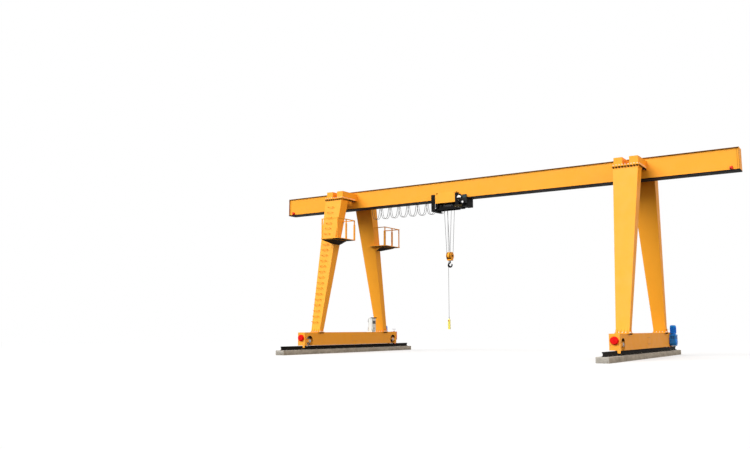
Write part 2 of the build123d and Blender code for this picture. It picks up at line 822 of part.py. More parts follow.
def cable_carrier(x):
    with BuildPart() as carrier:
        with BuildSketch(Plane.XY.offset(carrier_top_z - carrier_height)):
            with Locations((x, track_rail_y)):
                Rectangle(carrier_length, carrier_width)
        extrude(amount=carrier_height)
        with BuildSketch(Plane.XY.offset(carrier_top_z)):
            with Locations((x, track_rail_y)):
                Rectangle(carrier_length / 2, track_slot_width - 2 * running_gap)
        extrude(amount=neck_height)
        with BuildSketch(Plane.XY.offset(carrier_top_z + neck_height)):
            with Locations((x, track_rail_y)):
                Rectangle(carrier_length, inner_width)
        extrude(amount=inner_height)
        with BuildSketch(Plane.XZ.offset(-track_rail_y - saddle_width / 2)):
            with Locations((x, saddle_bottom_z + saddle_radius)):
                Circle(saddle_radius)
            with Locations((x, saddle_bottom_z + saddle_radius / 2)):
                Rectangle(2 * saddle_radius, saddle_radius)
            with Locations((x, carrier_top_z - carrier_height)):
                Rectangle(saddle_radius, saddle_radius)
        extrude(amount=saddle_width)
    return carrier.part


for i in range(1, loop_count):
    write(cable_carrier(fixed_x + i * loop_pitch), f"cable_carrier_{i}")


def cord_radii(points):
    """The largest arc at each corner that its two runs allow."""
    radii = []
    for before, here, after in zip(points, points[1:], points[2:]):
        run_in, run_out = Vector(here) - Vector(before), Vector(after) - Vector(here)
        turn = radians(run_in.get_angle(run_out))
        radii.append(arc_share * min(run_in.length, run_out.length) / tan(turn / 2))
    return radii


# Two cables hanging in loops between the carriers
half_loop = loop_pitch / 2 - cable_offset
loop_side = [(half_loop * w, loop_depth * d) for w, d in zip(loop_width_shares, loop_depth_shares)]


def cable_loop(x):
    """One loop about its lowest point, from the saddle on its left to the one on its right."""
    left = [(x - w, 0, saddle_bottom_z - d) for w, d in loop_side]
    right = [(x + w, 0, saddle_bottom_z - d) for w, d in reversed(loop_side)]
    points = left + right
    radii = cord_radii(points)
    with BuildPart() as loop:
        with BuildLine() as route:
            FilletPolyline(*points, radius=radii)
        with BuildSketch(Plane(origin=points[0], z_dir=route.line % 0)):
            Circle(cable_diameter / 2)
        sweep()
    print("cable loop radii", [round(r) for r in radii], "length", round(route.wire().length))
    return loop.part


first_loop_x = fixed_x + loop_pitch / 2
one_loop = cable_loop(first_loop_x)
cable_ys = (track_rail_y - cable_spread, track_rail_y + cable_spread)
loops = [one_loop.moved(Location((i * loop_pitch, y, 0))) for i in range(loop_count) for y in cable_ys]
write(Compound(loops), "festoon_cables")

# Trolley end frames: a U of two cheeks and a cross beam at each end, hanging from the wheels
bogie_radius = bogie_wheel_diameter / 2
bogie_z = track_top_z + contact_gap + bogie_radius
bogie_left = (left_frame_near + left_frame_far) / 2
bogie_right = (right_frame_near + right_frame_far) / 2
frame_outer_y = frame_inner_y + frame_plate_thickness
left_frame_x = (hoist_x - left_frame_far, hoist_x - left_frame_near)
right_frame_x = (hoist_x + right_frame_near, hoist_x + right_frame_far)


def end_frame(xs, bottom_z):
    frame_mid_x, frame_length = (xs[0] + xs[1]) / 2, xs[1] - xs[0]
    with BuildPart() as frame:
        with BuildSketch(Plane.YZ.offset(xs[0])):
            with Locations((0, (bottom_z + frame_top_z) / 2)):
                Rectangle(2 * frame_outer_y, frame_top_z - bottom_z)
            inner_low = bottom_z + cross_beam_height
            with Locations((0, (inner_low + frame_top_z) / 2)):
                Rectangle(2 * frame_inner_y, frame_top_z - inner_low, mode=Mode.SUBTRACT)
        extrude(amount=frame_length)
        with BuildSketch(Plane.XZ.offset(-frame_outer_y - cut_over)):
            with Locations((frame_mid_x, bogie_z)):
                Circle(bogie_axle_diameter / 2 + axle_clearance)
        extrude(amount=2 * (frame_outer_y + cut_over), mode=Mode.SUBTRACT)
    return frame.part


left_end = end_frame(left_frame_x, left_frame_bottom_z)
right_end = end_frame(right_frame_x, right_frame_bottom_z)
write(Compound([left_end, right_end]), "trolley_end_frames")

# Trolley wheels on the track flange, with their flanges outside its edges
tread_inner_y = web_width / 2 + bogie_web_gap
tread_outer_y = flange_width / 2 + running_gap
with BuildPart() as bogie:
    with BuildSketch(Plane.YZ):
        with BuildLine():
            flange_outer_y = tread_outer_y + bogie_flange_width
            Polyline(
                (tread_inner_y, 0),
                (tread_inner_y, bogie_radius),
                (tread_outer_y, bogie_radius),
                (tread_outer_y, bogie_radius + bogie_flange_height),
                (flange_outer_y, bogie_radius + bogie_flange_height),
                (flange_outer_y, bogie_axle_diameter / 2),
                (frame_outer_y, bogie_axle_diameter / 2),
                (frame_outer_y, 0),
                close=True,
            )
        make_face()
    revolve(axis=Axis.Y)

far_wheel = bogie.part
near_wheel = mirror(far_wheel, about=Plane.XZ)
wheel_xs = (hoist_x - bogie_left, hoist_x + bogie_right)
trolley_wheels = [w.moved(Location((x, 0, bogie_z))) for x in wheel_xs for w in (near_wheel, far_wheel)]
write(Compound(trolley_wheels), "trolley_wheels")

# Side panels between the end frames, with a hinge pin at each upper corner
panel_length = left_frame_near + right_frame_near
panel_mid_x = hoist_x + (right_frame_near - left_frame_near) / 2
pin_x = panel_length / 2 - pin_inset
with BuildPart() as panel:
    with BuildSketch(Plane.XZ.offset(panel_inner_y)):
        with Locations((panel_mid_x, (panel_bottom_z + panel_top_z) / 2)):
            Rectangle(panel_length, panel_top_z - panel_bottom_z)
    extrude(amount=panel_thickness)
    with BuildSketch(Plane.XZ.offset(panel_inner_y + panel_thickness)):
        with Locations(*[(panel_mid_x + end * pin_x, panel_top_z - pin_inset) for end in (-1, 1)]):
            Circle(pin_diameter / 2)
    extrude(amount=pin_reach)
write(Compound([panel.part, mirror(panel.part, about=Plane.XZ)]), "trolley_side_panels")

# Hoist frame: two bearing plates on side beams, rope anchors and bearers for the control box
plate_near = drum_half_length + drum_flange_thickness + hoist_plate_gap
plate_outer = plate_near + hoist_plate_thickness
beam_run = left_frame_near + right_frame_near
side_beam_y = hoist_plate_width / 2 - side_beam_thickness / 2
with BuildPart() as hoist_frame:
    plate_mid = plate_near + hoist_plate_thickness / 2
    with BuildSketch(Plane.XY.offset(hoist_plate_bottom_z)):
        with Locations((hoist_x - plate_mid, 0), (hoist_x + plate_mid, 0)):
            Rectangle(hoist_plate_thickness, hoist_plate_width)
    extrude(amount=hoist_plate_top_z - hoist_plate_bottom_z)
    with BuildSketch(Plane.XY.offset(hoist_plate_bottom_z)):
        with Locations((panel_mid_x, -side_beam_y), (panel_mid_x, side_beam_y)):
            Rectangle(beam_run, side_beam_thickness)
    extrude(amount=side_beam_height)
    anchor_reach = side_beam_y - rope_y + anchor_width / 2
    with BuildSketch(Plane.XY.offset(hoist_plate_bottom_z + side_beam_thickness)):
        anchor_y = rope_y - anchor_width / 2 + anchor_reach / 2
        with Locations((hoist_x - rope_top_x, anchor_y), (hoist_x + rope_top_x, anchor_y)):
            Rectangle(anchor_width, anchor_reach)
    extrude(amount=anchor_height)
    with BuildSketch(Plane.YZ.offset(hoist_x - plate_outer - cut_over)):
        with Locations((0, drum_z)):
            Circle(drum_shaft_diameter / 2 + axle_clearance)
    extrude(amount=2 * (plate_outer + cut_over), mode=Mode.SUBTRACT)
write(hoist_frame.part, "hoist_frame")

# Rope drum with grooves, end flanges and shaft
groove_pitch = (drum_half_length - drum_plain_end) / (drum_groove_count / 2)
with BuildPart() as drum:
    with BuildSketch(Plane.XZ):
        with BuildLine():
            groove_points = []
            for i in range(drum_groove_count // 2):
                start_x = drum_plain_end / 2 + i * groove_pitch
                groove_points += [
                    (start_x, drum_radius),
                    (start_x + groove_pitch / 2, drum_radius - drum_groove_depth),
                ]
            drum_end = drum_half_length + drum_flange_thickness
            Polyline(
                (0, 0),
                (0, drum_radius),
                *groove_points,
                (drum_half_length - drum_plain_end / 2, drum_radius),
                (drum_half_length, drum_radius),
                (drum_half_length, drum_flange_radius),
                (drum_end, drum_flange_radius),
                (drum_end, drum_shaft_diameter / 2),
                (plate_outer - contact_gap, drum_shaft_diameter / 2),
                (plate_outer - contact_gap, 0),
                close=True,
            )
        make_face()
    revolve(axis=Axis.X)
    mirror(about=Plane.YZ)
write(drum.part.moved(Location((hoist_x, 0, drum_z))), "hoist_drum")

# Hoist gear case and motor beyond the drum
with BuildPart() as hoist_motor:
    with BuildSketch(Plane.YZ.offset(hoist_x + plate_outer)):
        with Locations((0, drum_z), (0, hoist_motor_z)):
            Circle(hoist_gear_radius)
        with Locations((0, (drum_z + hoist_motor_z) / 2)):
            Rectangle(2 * hoist_gear_radius, hoist_motor_z - drum_z)
    extrude(amount=hoist_gear_thickness)
    motor_start = plate_outer + hoist_gear_thickness
    with BuildSketch(Plane.YZ.offset(hoist_x + motor_start)):
        with Locations((0, hoist_motor_z)):
            Circle(hoist_motor_diameter / 2)
    extrude(amount=hoist_motor_end - motor_cap_length - motor_start)
    with BuildSketch(Plane.YZ.offset(hoist_x + hoist_motor_end - motor_cap_length)):
        with Locations((0, hoist_motor_z)):
            Circle(hoist_motor_diameter / 2 - motor_cap_edge)
    extrude(amount=motor_cap_length)
write(hoist_motor.part, "hoist_motor")

# Control box on two bearers from the right end frame
with BuildPart() as control_box:
    box_length = control_box_end - control_box_start
    box_x = hoist_x + (control_box_start + control_box_end) / 2
    with BuildSketch(Plane.XY.offset(control_box_bottom_z)):
        with Locations((box_x, 0)):
            RectangleRounded(box_length, control_box_width, control_box_edge)
    extrude(amount=control_box_top_z - control_box_bottom_z)
    bearer_run = control_box_start + box_length / 2 - right_frame_far
    bearer_x = hoist_x + right_frame_far + bearer_run / 2
    with BuildSketch(Plane.XY.offset(control_box_bottom_z)):
        with Locations((bearer_x, -bearer_y), (bearer_x, bearer_y)):
            Rectangle(bearer_run, bearer_width)
    extrude(amount=bearer_height)
write(control_box.part, "hoist_control_box")

# Cross travel drive: flat gear case and housing on the right end frame, with a short motor
with BuildPart() as travel_drive:
    gear_centre = (hoist_x + travel_gear_x, travel_gear_z)
    motor_centre = (hoist_x + travel_motor_x, travel_motor_z)
    with BuildSketch(Plane.XZ.offset(frame_outer_y)):
        with Locations(gear_centre, motor_centre):
            Circle(travel_gear_radius)
        make_hull()
    extrude(amount=travel_gear_thickness)
    with BuildSketch(Plane.XZ.offset(frame_outer_y + travel_gear_thickness)):
        with Locations(gear_centre):
            Circle(travel_cover_radius)
    extrude(amount=travel_cover_thickness)
    with BuildSketch(Plane.XZ.offset(frame_outer_y + travel_gear_thickness)):
        with Locations(motor_centre):
            Circle(travel_motor_diameter / 2)
    extrude(amount=travel_motor_reach)
    housing_x = hoist_x + (drive_housing_near + drive_housing_far) / 2
    housing_z = (drive_housing_bottom_z + drive_housing_top_z) / 2
    with BuildSketch(Plane.XZ.offset(frame_outer_y)):
        with Locations((housing_x, housing_z)):
            Rectangle(drive_housing_far - drive_housing_near, drive_housing_top_z - drive_housing_bottom_z)
    extrude(amount=drive_housing_depth)
write(travel_drive.part, "cross_travel_drive")

# Towing arm: clamp for the cable's last loop, and the arm that carries the pendant
with BuildPart() as towing_arm:
    arm_inner_y = panel_inner_y + panel_thickness
    with BuildSketch(Plane.XY.offset(saddle_bottom_z)):
        clamp_reach = track_rail_y + saddle_width / 2 - arm_inner_y
        with Locations((towed_x, arm_inner_y + clamp_reach / 2)):
            Rectangle(carrier_length, clamp_reach)
    extrude(amount=tow_clamp_height)
    with BuildSketch(Plane.XY.offset(pendant_arm_z - pendant_arm_height / 2)):
        with Locations((pendant_x, arm_inner_y + pendant_arm_width / 2)):
            Rectangle(pendant_arm_width, pendant_arm_width)
    extrude(amount=saddle_bottom_z + tow_clamp_height - pendant_arm_z + pendant_arm_height / 2)
    arm_end_y = pendant_y + pendant_arm_overhang
    with BuildSketch(Plane.XY.offset(pendant_arm_z - pendant_arm_height / 2)):
        with Locations((pendant_x, (arm_inner_y + arm_end_y) / 2)):
            Rectangle(pendant_arm_width, arm_end_y - arm_inner_y)
    extrude(amount=pendant_arm_height)
write(towing_arm.part, "towing_arm")

# Pendant control and its cable
arm_low_z = pendant_arm_z - pendant_arm_height / 2
gland_top_z = pendant_top_z + gland_height
with BuildPart() as pendant_cable:
    with BuildSketch(Plane.XY.offset(gland_top_z)):
        with Locations((pendant_x, pendant_y)):
            Circle(pendant_cable_diameter / 2)
    extrude(amount=arm_low_z - gland_top_z)
write(pendant_cable.part, "pendant_cable")

with BuildPart() as pendant:
    with BuildSketch(Plane.XY.offset(pendant_bottom_z)):
        with Locations((pendant_x, pendant_y)):
            RectangleRounded(pendant_width, pendant_depth, pendant_edge)
    extrude(amount=pendant_top_z - pendant_bottom_z)
    with BuildSketch(Plane.XY.offset(pendant_top_z)):
        with Locations((pendant_x, pendant_y)):
            Circle(gland_diameter / 2)
    extrude(amount=gland_height)
write(pendant.part, "pendant")

# Four rope falls: from the drum in front, from the anchors behind, down to the block's sheaves
rope_lean_share = (rope_top_x - rope_low_x) / (drum_z - sheave_z)
anchor_low_z = hoist_plate_bottom_z + side_beam_thickness - contact_gap - rope_diameter * rope_lean_share
falls = []
for side in (-1, 1):
    for y, top_z in ((-rope_y, drum_z), (rope_y, anchor_low_z)):
        top_x = rope_low_x + (top_z - sheave_z) * rope_lean_share
        top_point = (hoist_x + side * top_x, y, top_z)
        low_point = (hoist_x + side * rope_low_x, y, sheave_z)
        falls.append(round_bar(top_point, low_point, rope_diameter / 2))
write(Compound(falls), "hoist_ropes")

# Hook block: three round cheeks with open slots for the sheaves, and a window over the crosshead
with BuildPart() as block:
    with BuildSketch(Plane.YZ.offset(hoist_x - block_width / 2)):
        with Locations((0, sheave_z)):
            Circle(block_radius)
        with Locations((0, (block_bottom_z + sheave_z) / 2)):
            Rectangle(block_neck_width, sheave_z - block_bottom_z)
    extrude(amount=block_width)
    chamfer(block.faces().filter_by(Axis.X).edges(), length=block_edge)
    slot_radius = sheave_flange_radius + block_slot_gap
    slot_height = slot_radius + block_radius + cut_over
    for side in (-1, 1):
        with BuildSketch(Plane.YZ.offset(hoist_x + side * rope_low_x - block_slot_width / 2)):
            with Locations((0, sheave_z - slot_radius + slot_height / 2)):
                Rectangle(2 * (block_radius + cut_over), slot_height)
        extrude(amount=block_slot_width, mode=Mode.SUBTRACT)
    with BuildSketch(Plane.YZ.offset(hoist_x - block_width / 2 - cut_over)):
        with Locations((0, sheave_z)):
            Circle(pin_shaft_diameter / 2 + axle_clearance)
    extrude(amount=block_width + 2 * cut_over, mode=Mode.SUBTRACT)
    window_low = block_bottom_z + crosshead_thickness
    with BuildSketch(Plane.XZ.offset(-block_radius)):
        with Locations((hoist_x, window_low + window_height / 2)):
            Rectangle(window_width, window_height)
    extrude(amount=2 * block_radius, mode=Mode.SUBTRACT)
    with BuildSketch(Plane.XY.offset(block_bottom_z - cut_over)):
        with Locations((hoist_x, 0)):
            Circle(shank_diameter / 2 + axle_clearance)
    extrude(amount=crosshead_thickness + 2 * cut_over, mode=Mode.SUBTRACT)
write(block.part, "hook_block")

# Sheaves with a rope groove, on one pin through the block
with BuildPart() as sheaves:
    with BuildSketch(Plane.XZ):
        with BuildLine():
            inner_x, outer_x = rope_low_x - sheave_width / 2, rope_low_x + sheave_width / 2
            groove_in, groove_out = rope_low_x - sheave_groove_width / 2, rope_low_x + sheave_groove_width / 2
            pin_half = block_width / 2 + cut_over
            Polyline(
                (0, 0),
                (0, pin_shaft_diameter / 2),
                (inner_x, pin_shaft_diameter / 2),
                (inner_x, sheave_flange_radius),
                (inner_x + sheave_lip, sheave_flange_radius),
                (groove_in, sheave_radius),
                (groove_out, sheave_radius),
                (outer_x - sheave_lip, sheave_flange_radius),
                (outer_x, sheave_flange_radius),
                (outer_x, pin_shaft_diameter / 2),
                (pin_half, pin_shaft_diameter / 2),
                (pin_half, 0),
                close=True,
            )
        make_face()
    revolve(axis=Axis.X)
    mirror(about=Plane.YZ)
write(sheaves.part.moved(Location((hoist_x, 0, sheave_z))), "block_sheaves")

# Swivelling hook: forged body open to one side, shank and nut on the crosshead
nut_z = window_low + contact_gap
with BuildPart() as hook:
    with BuildSketch(Plane.XZ.offset(-hook_thickness / 2)):
        with Locations((hoist_x, hook_centre_z)):
            Circle(hook_outer_radius)
        with Locations((hoist_x + hook_outer_radius, hook_centre_z + hook_mouth_low + hook_outer_radius)):
            Rectangle(2 * hook_outer_radius, 2 * hook_outer_radius, mode=Mode.SUBTRACT)
        with Locations((hoist_x, hook_centre_z + hook_neck_top / 2)):
            Rectangle(hook_neck_width, hook_neck_top)
        with Locations((hoist_x + hook_inner_shift, hook_centre_z + hook_inner_shift)):
            Circle(hook_inner_radius, mode=Mode.SUBTRACT)
    extrude(amount=hook_thickness)
    chamfer(hook.faces().filter_by(Axis.Y).edges(), length=hook_edge)
    shank_low_z = hook_centre_z + hook_neck_top
    with BuildSketch(Plane.XY.offset(shank_low_z)):
        with Locations((hoist_x, 0)):
            Circle(shank_diameter / 2)
    extrude(amount=nut_z + nut_height - shank_low_z)
    with BuildSketch(Plane.XY.offset(nut_z)):
        with Locations((hoist_x, 0)):
            RegularPolygon(nut_radius, nut_sides)
    extrude(amount=nut_height)
write(hook.part, "hook")
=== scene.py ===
import math
from itertools import product

import bmesh
import bpy
from mathutils import Matrix, Vector
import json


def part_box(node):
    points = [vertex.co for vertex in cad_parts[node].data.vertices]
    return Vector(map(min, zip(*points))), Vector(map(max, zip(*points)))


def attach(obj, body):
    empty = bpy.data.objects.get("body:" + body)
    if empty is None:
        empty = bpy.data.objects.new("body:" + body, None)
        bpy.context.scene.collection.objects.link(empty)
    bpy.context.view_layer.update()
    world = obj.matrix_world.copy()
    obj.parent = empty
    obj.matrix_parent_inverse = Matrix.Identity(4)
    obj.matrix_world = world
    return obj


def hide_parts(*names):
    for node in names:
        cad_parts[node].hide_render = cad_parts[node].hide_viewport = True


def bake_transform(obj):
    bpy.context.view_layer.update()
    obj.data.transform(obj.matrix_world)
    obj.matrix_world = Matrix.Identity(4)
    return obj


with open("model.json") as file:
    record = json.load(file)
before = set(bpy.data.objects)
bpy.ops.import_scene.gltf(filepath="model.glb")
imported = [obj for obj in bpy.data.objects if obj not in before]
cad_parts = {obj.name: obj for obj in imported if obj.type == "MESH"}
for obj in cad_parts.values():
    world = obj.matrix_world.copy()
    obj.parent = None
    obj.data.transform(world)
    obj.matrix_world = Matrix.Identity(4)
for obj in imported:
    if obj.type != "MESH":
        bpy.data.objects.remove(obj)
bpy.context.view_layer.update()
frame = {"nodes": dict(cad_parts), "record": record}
nodes = frame["nodes"]
scene = bpy.context.scene


def middle(name, axis):
    """The middle of a node's box along X (0) or Y (1)."""
    start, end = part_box(name)
    return (start[axis] + end[axis]) / 2


# Places that follow the frame's nodes
SIDE_X = middle("right_carriage", 0)
HOIST_X = middle("hook_block", 0)
PENDANT_X, PENDANT_Y = middle("pendant", 0), middle("pendant", 1)
GIRDER_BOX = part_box("main_girder")
GIRDER_LENGTH = GIRDER_BOX[1].x - GIRDER_BOX[0].x
PENDANT_CABLE_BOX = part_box("pendant_cable")

# Directions
UP, DOWN = (0, 0, 1), (0, 0, -1)
ALONG_X, ALONG_Y = (1, 0, 0), (0, 1, 0)
BOTH = (-1, 1)
CORNERS = [(side, end) for side in BOTH for end in BOTH]

# Camera, fitted to the photograph's edges
CAMERA_PLACE = (17.1224, -35.4803, 1.3322)
CAMERA_YAW = 0.5854
CAMERA_PITCH = 0.1343
CAMERA_LENS = 36.794
SENSOR_WIDTH = 36.0
CLIP_END = 500.0


def add_object(name, data):
    obj = bpy.data.objects.new(name, data)
    scene.collection.objects.link(obj)
    return obj


def add_camera():
    data = bpy.data.cameras.new("camera")
    data.lens = CAMERA_LENS
    data.sensor_width = SENSOR_WIDTH
    data.clip_end = CLIP_END
    camera = add_object("camera", data)
    camera.location = CAMERA_PLACE
    camera.rotation_euler = (math.pi / 2 + CAMERA_PITCH, 0, CAMERA_YAW)
    scene.camera = camera


add_camera()


# Node helpers for the materials
def new_material(name):
    material = bpy.data.materials.new(name)
    material.use_nodes = True
    tree = material.node_tree
    return material, tree, tree.nodes["Principled BSDF"]


def feed(tree, node, values):
    """Gives a node's inputs, by name or number, their links, numbers or colours."""
    for key, value in values.items():
        socket = node.inputs[key]
        if isinstance(value, bpy.types.NodeSocket):
            tree.links.new(value, socket)
        elif socket.type == "RGBA":
            socket.default_value = (*value, 1.0)
        else:
            socket.default_value = value


def add_node(tree, kind, **values):
    """A new node; each value goes to the input of that name, or else to the setting."""
    node = tree.nodes.new(kind)
    for key, value in values.items():
        if key in node.inputs:
            feed(tree, node, {key: value})
        else:
            setattr(node, key, value)
    return node


def object_coords(tree, stretch=(1, 1, 1)):
    coords = add_node(tree, "ShaderNodeTexCoord").outputs["Object"]
    return add_node(tree, "ShaderNodeMapping", Vector=coords, Scale=stretch).outputs["Vector"]


def noise(tree, scale, detail, rough=0.55, stretch=(1, 1, 1)):
    place = object_coords(tree, stretch)
    node = add_node(tree, "ShaderNodeTexNoise", Vector=place, Scale=scale, Detail=detail, Roughness=rough)
    return node.outputs["Fac"]


def ramp(tree, factor, stops):
    """A colour ramp; stops are (place, grey or colour)."""
    node = add_node(tree, "ShaderNodeValToRGB", Fac=factor)
    elements = node.color_ramp.elements
    while len(elements) < len(stops):
        elements.new(0.5)
    for element, (place, colour) in zip(elements, stops):
        element.position = place
        if isinstance(colour, (int, float)):
            colour = (colour, colour, colour)
        element.color = (*colour, 1.0)
    return node.outputs["Color"]


def fade(tree, factor, a, b, start=0.3, stop=0.7):
    """Goes from a to b while factor goes from start to stop."""
    return ramp(tree, factor, [(start, a), (stop, b)])


def mix(tree, factor, a, b, blend="MIX"):
    """Mixes two colours; each is a socket or a colour, and factor a socket or a number."""
    node = add_node(tree, "ShaderNodeMix", data_type="RGBA", blend_type=blend)
    feed(tree, node, {0: factor, 6: a, 7: b})
    return node.outputs[2]


def maths(tree, operation, a, b):
    node = add_node(tree, "ShaderNodeMath", operation=operation)
    feed(tree, node, {0: a, 1: b})
    return node.outputs[0]


def remap(tree, value, start, stop, at_start=1.0, at_stop=0.0):
    """Goes from at_start to at_stop while value goes from start to stop."""
    inputs = {"Value": value, "From Min": start, "From Max": stop, "To Min": at_start, "To Max": at_stop}
    return add_node(tree, "ShaderNodeMapRange", **inputs).outputs["Result"]


def z_part(tree, vector):
    return add_node(tree, "ShaderNodeSeparateXYZ", Vector=vector).outputs["Z"]


def height_mask(tree, low_z, high_z):
    """1 at low_z and 0 at high_z, up the object."""
    coords = add_node(tree, "ShaderNodeTexCoord")
    return remap(tree, z_part(tree, coords.outputs["Object"]), low_z, high_z)


def facing_down(tree):
    """1 on undersides and 0 on walls and tops."""
    geometry = add_node(tree, "ShaderNodeNewGeometry")
    return remap(tree, z_part(tree, geometry.outputs["True Normal"]), start=-0.6, stop=-0.3)


def bump(tree, shader, height, strength, distance):
    node = add_node(tree, "ShaderNodeBump", Strength=strength, Distance=distance, Height=height)
    feed(tree, shader, {"Normal": node.outputs["Normal"]})


def scaled(colour, factor):
    return tuple(min(1.0, c * factor) for c in colour)


# Materials
DUST = (0.42, 0.36, 0.27)
GRIME = (0.10, 0.075, 0.045)
RUST = (0.20, 0.075, 0.025)
DAMP = (0.10, 0.085, 0.06)
DUST_LOW_Z, DUST_TOP_Z = 0.2, 1.3
DAMP_TOP_Z = 0.16
# Painted shade: undersides are painted this share of the paint's colour, near black
PAINTED_UNDERSIDE_SHADE = 0.012


def painted(name, colour, rough, patch=0.07, streak=0.18, dust=0.12, coat=0.03, spec=0.22, under=0.0):
    """Paint on steel: patches, rain streaks, dust near the ground, painted shade on undersides, orange peel.
    """
    material, tree, shader = new_material(name)
    patches = noise(tree, scale=0.9, detail=5.0)
    shade = fade(tree, patches, scaled(colour, 1 - patch), scaled(colour, 1 + patch))
    run = noise(tree, scale=1.6, detail=6.0, rough=0.65, stretch=(9.0, 9.0, 0.35))
    run_mask = fade(tree, run, 0.0, streak, 0.54, 0.78)
    shade = mix(tree, run_mask, shade, mix(tree, 0.5, colour, GRIME))
    speck = noise(tree, scale=22.0, detail=3.0, rough=0.7)
    speck_mask = fade(tree, speck, 0.0, streak * 0.9, 0.66, 0.75)
    shade = mix(tree, speck_mask, shade, GRIME)
    low_dust = maths(tree, "MULTIPLY", height_mask(tree, DUST_LOW_Z, DUST_TOP_Z), dust)
    cloud = noise(tree, scale=4.5, detail=5.0, rough=0.6)
    dust_mask = maths(tree, "MULTIPLY", low_dust, fade(tree, cloud, 0.2, 1.0, 0.35, 0.65))
    shade = mix(tree, dust_mask, shade, DUST)
    gloss = fade(tree, noise(tree, scale=3.0, detail=4.0), rough - 0.06, rough + 0.1)
    # Painted shade: with under set, faces looking down are painted near black in place of the dim light from
    # below
    if under:
        below = facing_down(tree)
        painted_shade_mask = maths(tree, "MULTIPLY", below, under)
        shade = mix(tree, painted_shade_mask, shade, scaled(colour, PAINTED_UNDERSIDE_SHADE))
        gloss = maths(tree, "MAXIMUM", gloss, below)
    feed(tree, shader, {"Base Color": shade, "Roughness": gloss, "Specular IOR Level": spec})
    feed(tree, shader, {"Coat Weight": coat, "Coat Roughness": 0.25})
    peel = noise(tree, scale=140.0, detail=2.0)
    waves = noise(tree, scale=1.8, detail=2.0)
    bump(tree, shader, mix(tree, 0.6, peel, waves), strength=0.12, distance=0.004)
    return material


def bare_metal(name, colour, rough, rust):
    """Machined or rolled steel: brushed grain, a little rust in patches."""
    material, tree, shader = new_material(name)
    grain = noise(tree, scale=12.0, detail=5.0, rough=0.7, stretch=(1, 1, 60))
    shade = fade(tree, grain, scaled(colour, 0.8), scaled(colour, 1.15))
    patches = noise(tree, scale=9.0, detail=6.0, rough=0.65)
    rust_mask = fade(tree, patches, 0.0, rust, 0.52, 0.68)
    shade = mix(tree, rust_mask, shade, RUST)
    gloss = fade(tree, patches, rough - 0.08, rough + 0.25, start=0.35)
    feed(tree, shader, {"Base Color": shade, "Roughness": gloss, "Metallic": 0.9})
    bump(tree, shader, grain, strength=0.15, distance=0.002)
    return material


def rubber(name, colour, rough, dust=0.18, spec=0.4):
    """Rubber or cable sheath: dull clouds, dust and a fine grain."""
    material, tree, shader = new_material(name)
    cloud = noise(tree, scale=6.0, detail=5.0, rough=0.6)
    shade = fade(tree, cloud, scaled(colour, 0.85), scaled(colour, 1.12))
    dust_mask = fade(tree, cloud, 0.0, dust, 0.45, 0.8)
    shade = mix(tree, dust_mask, shade, DUST)
    gloss = fade(tree, cloud, rough - 0.1, rough + 0.1)
    feed(tree, shader, {"Base Color": shade, "Roughness": gloss, "Specular IOR Level": spec})
    bump(tree, shader, noise(tree, scale=90.0, detail=3.0), strength=0.2, distance=0.002)
    return material


def concrete(name):
    """Cast concrete: mottled grey-brown, grit, pores, damp stains near the ground."""
    material, tree, shader = new_material(name)
    broad = noise(tree, scale=2.2, detail=8.0, rough=0.65, stretch=(1, 1, 2.2))
    mottle = [(0.28, (0.28, 0.265, 0.235)), (0.5, (0.43, 0.415, 0.385)), (0.75, (0.54, 0.53, 0.50))]
    grit = noise(tree, scale=75.0, detail=6.0, rough=0.75)
    grains = fade(tree, grit, (0.16, 0.145, 0.12), (0.62, 0.6, 0.55))
    shade = mix(tree, 0.35, ramp(tree, broad, mottle), grains, "OVERLAY")
    stain = noise(tree, scale=2.4, detail=6.0, rough=0.7, stretch=(2.5, 2.5, 0.7))
    stains = fade(tree, stain, 0.1, 0.75, start=0.35)
    damp = maths(tree, "MULTIPLY", height_mask(tree, 0.0, DAMP_TOP_Z), stains)
    feed(tree, shader, {"Base Color": mix(tree, damp, shade, DAMP), "Roughness": 0.9})
    pores = add_node(tree, "ShaderNodeTexVoronoi", Vector=object_coords(tree), Scale=55.0)
    pit = fade(tree, pores.outputs["Distance"], 0.0, 1.0, 0.0, 0.22)
    height = mix(tree, 0.5, mix(tree, 0.5, broad, grit), pit)
    bump(tree, shader, height, strength=0.55, distance=0.006)
    return material


def glass_dark(name):
    material, tree, shader = new_material(name)
    cloud = noise(tree, scale=12.0, detail=3.0)
    shade, gloss = fade(tree, cloud, 0.012, 0.03), fade(tree, cloud, 0.06, 0.16)
    feed(tree, shader, {"Base Color": shade, "Roughness": gloss})
    return material


YELLOW = (0.90, 0.376, 0.022)
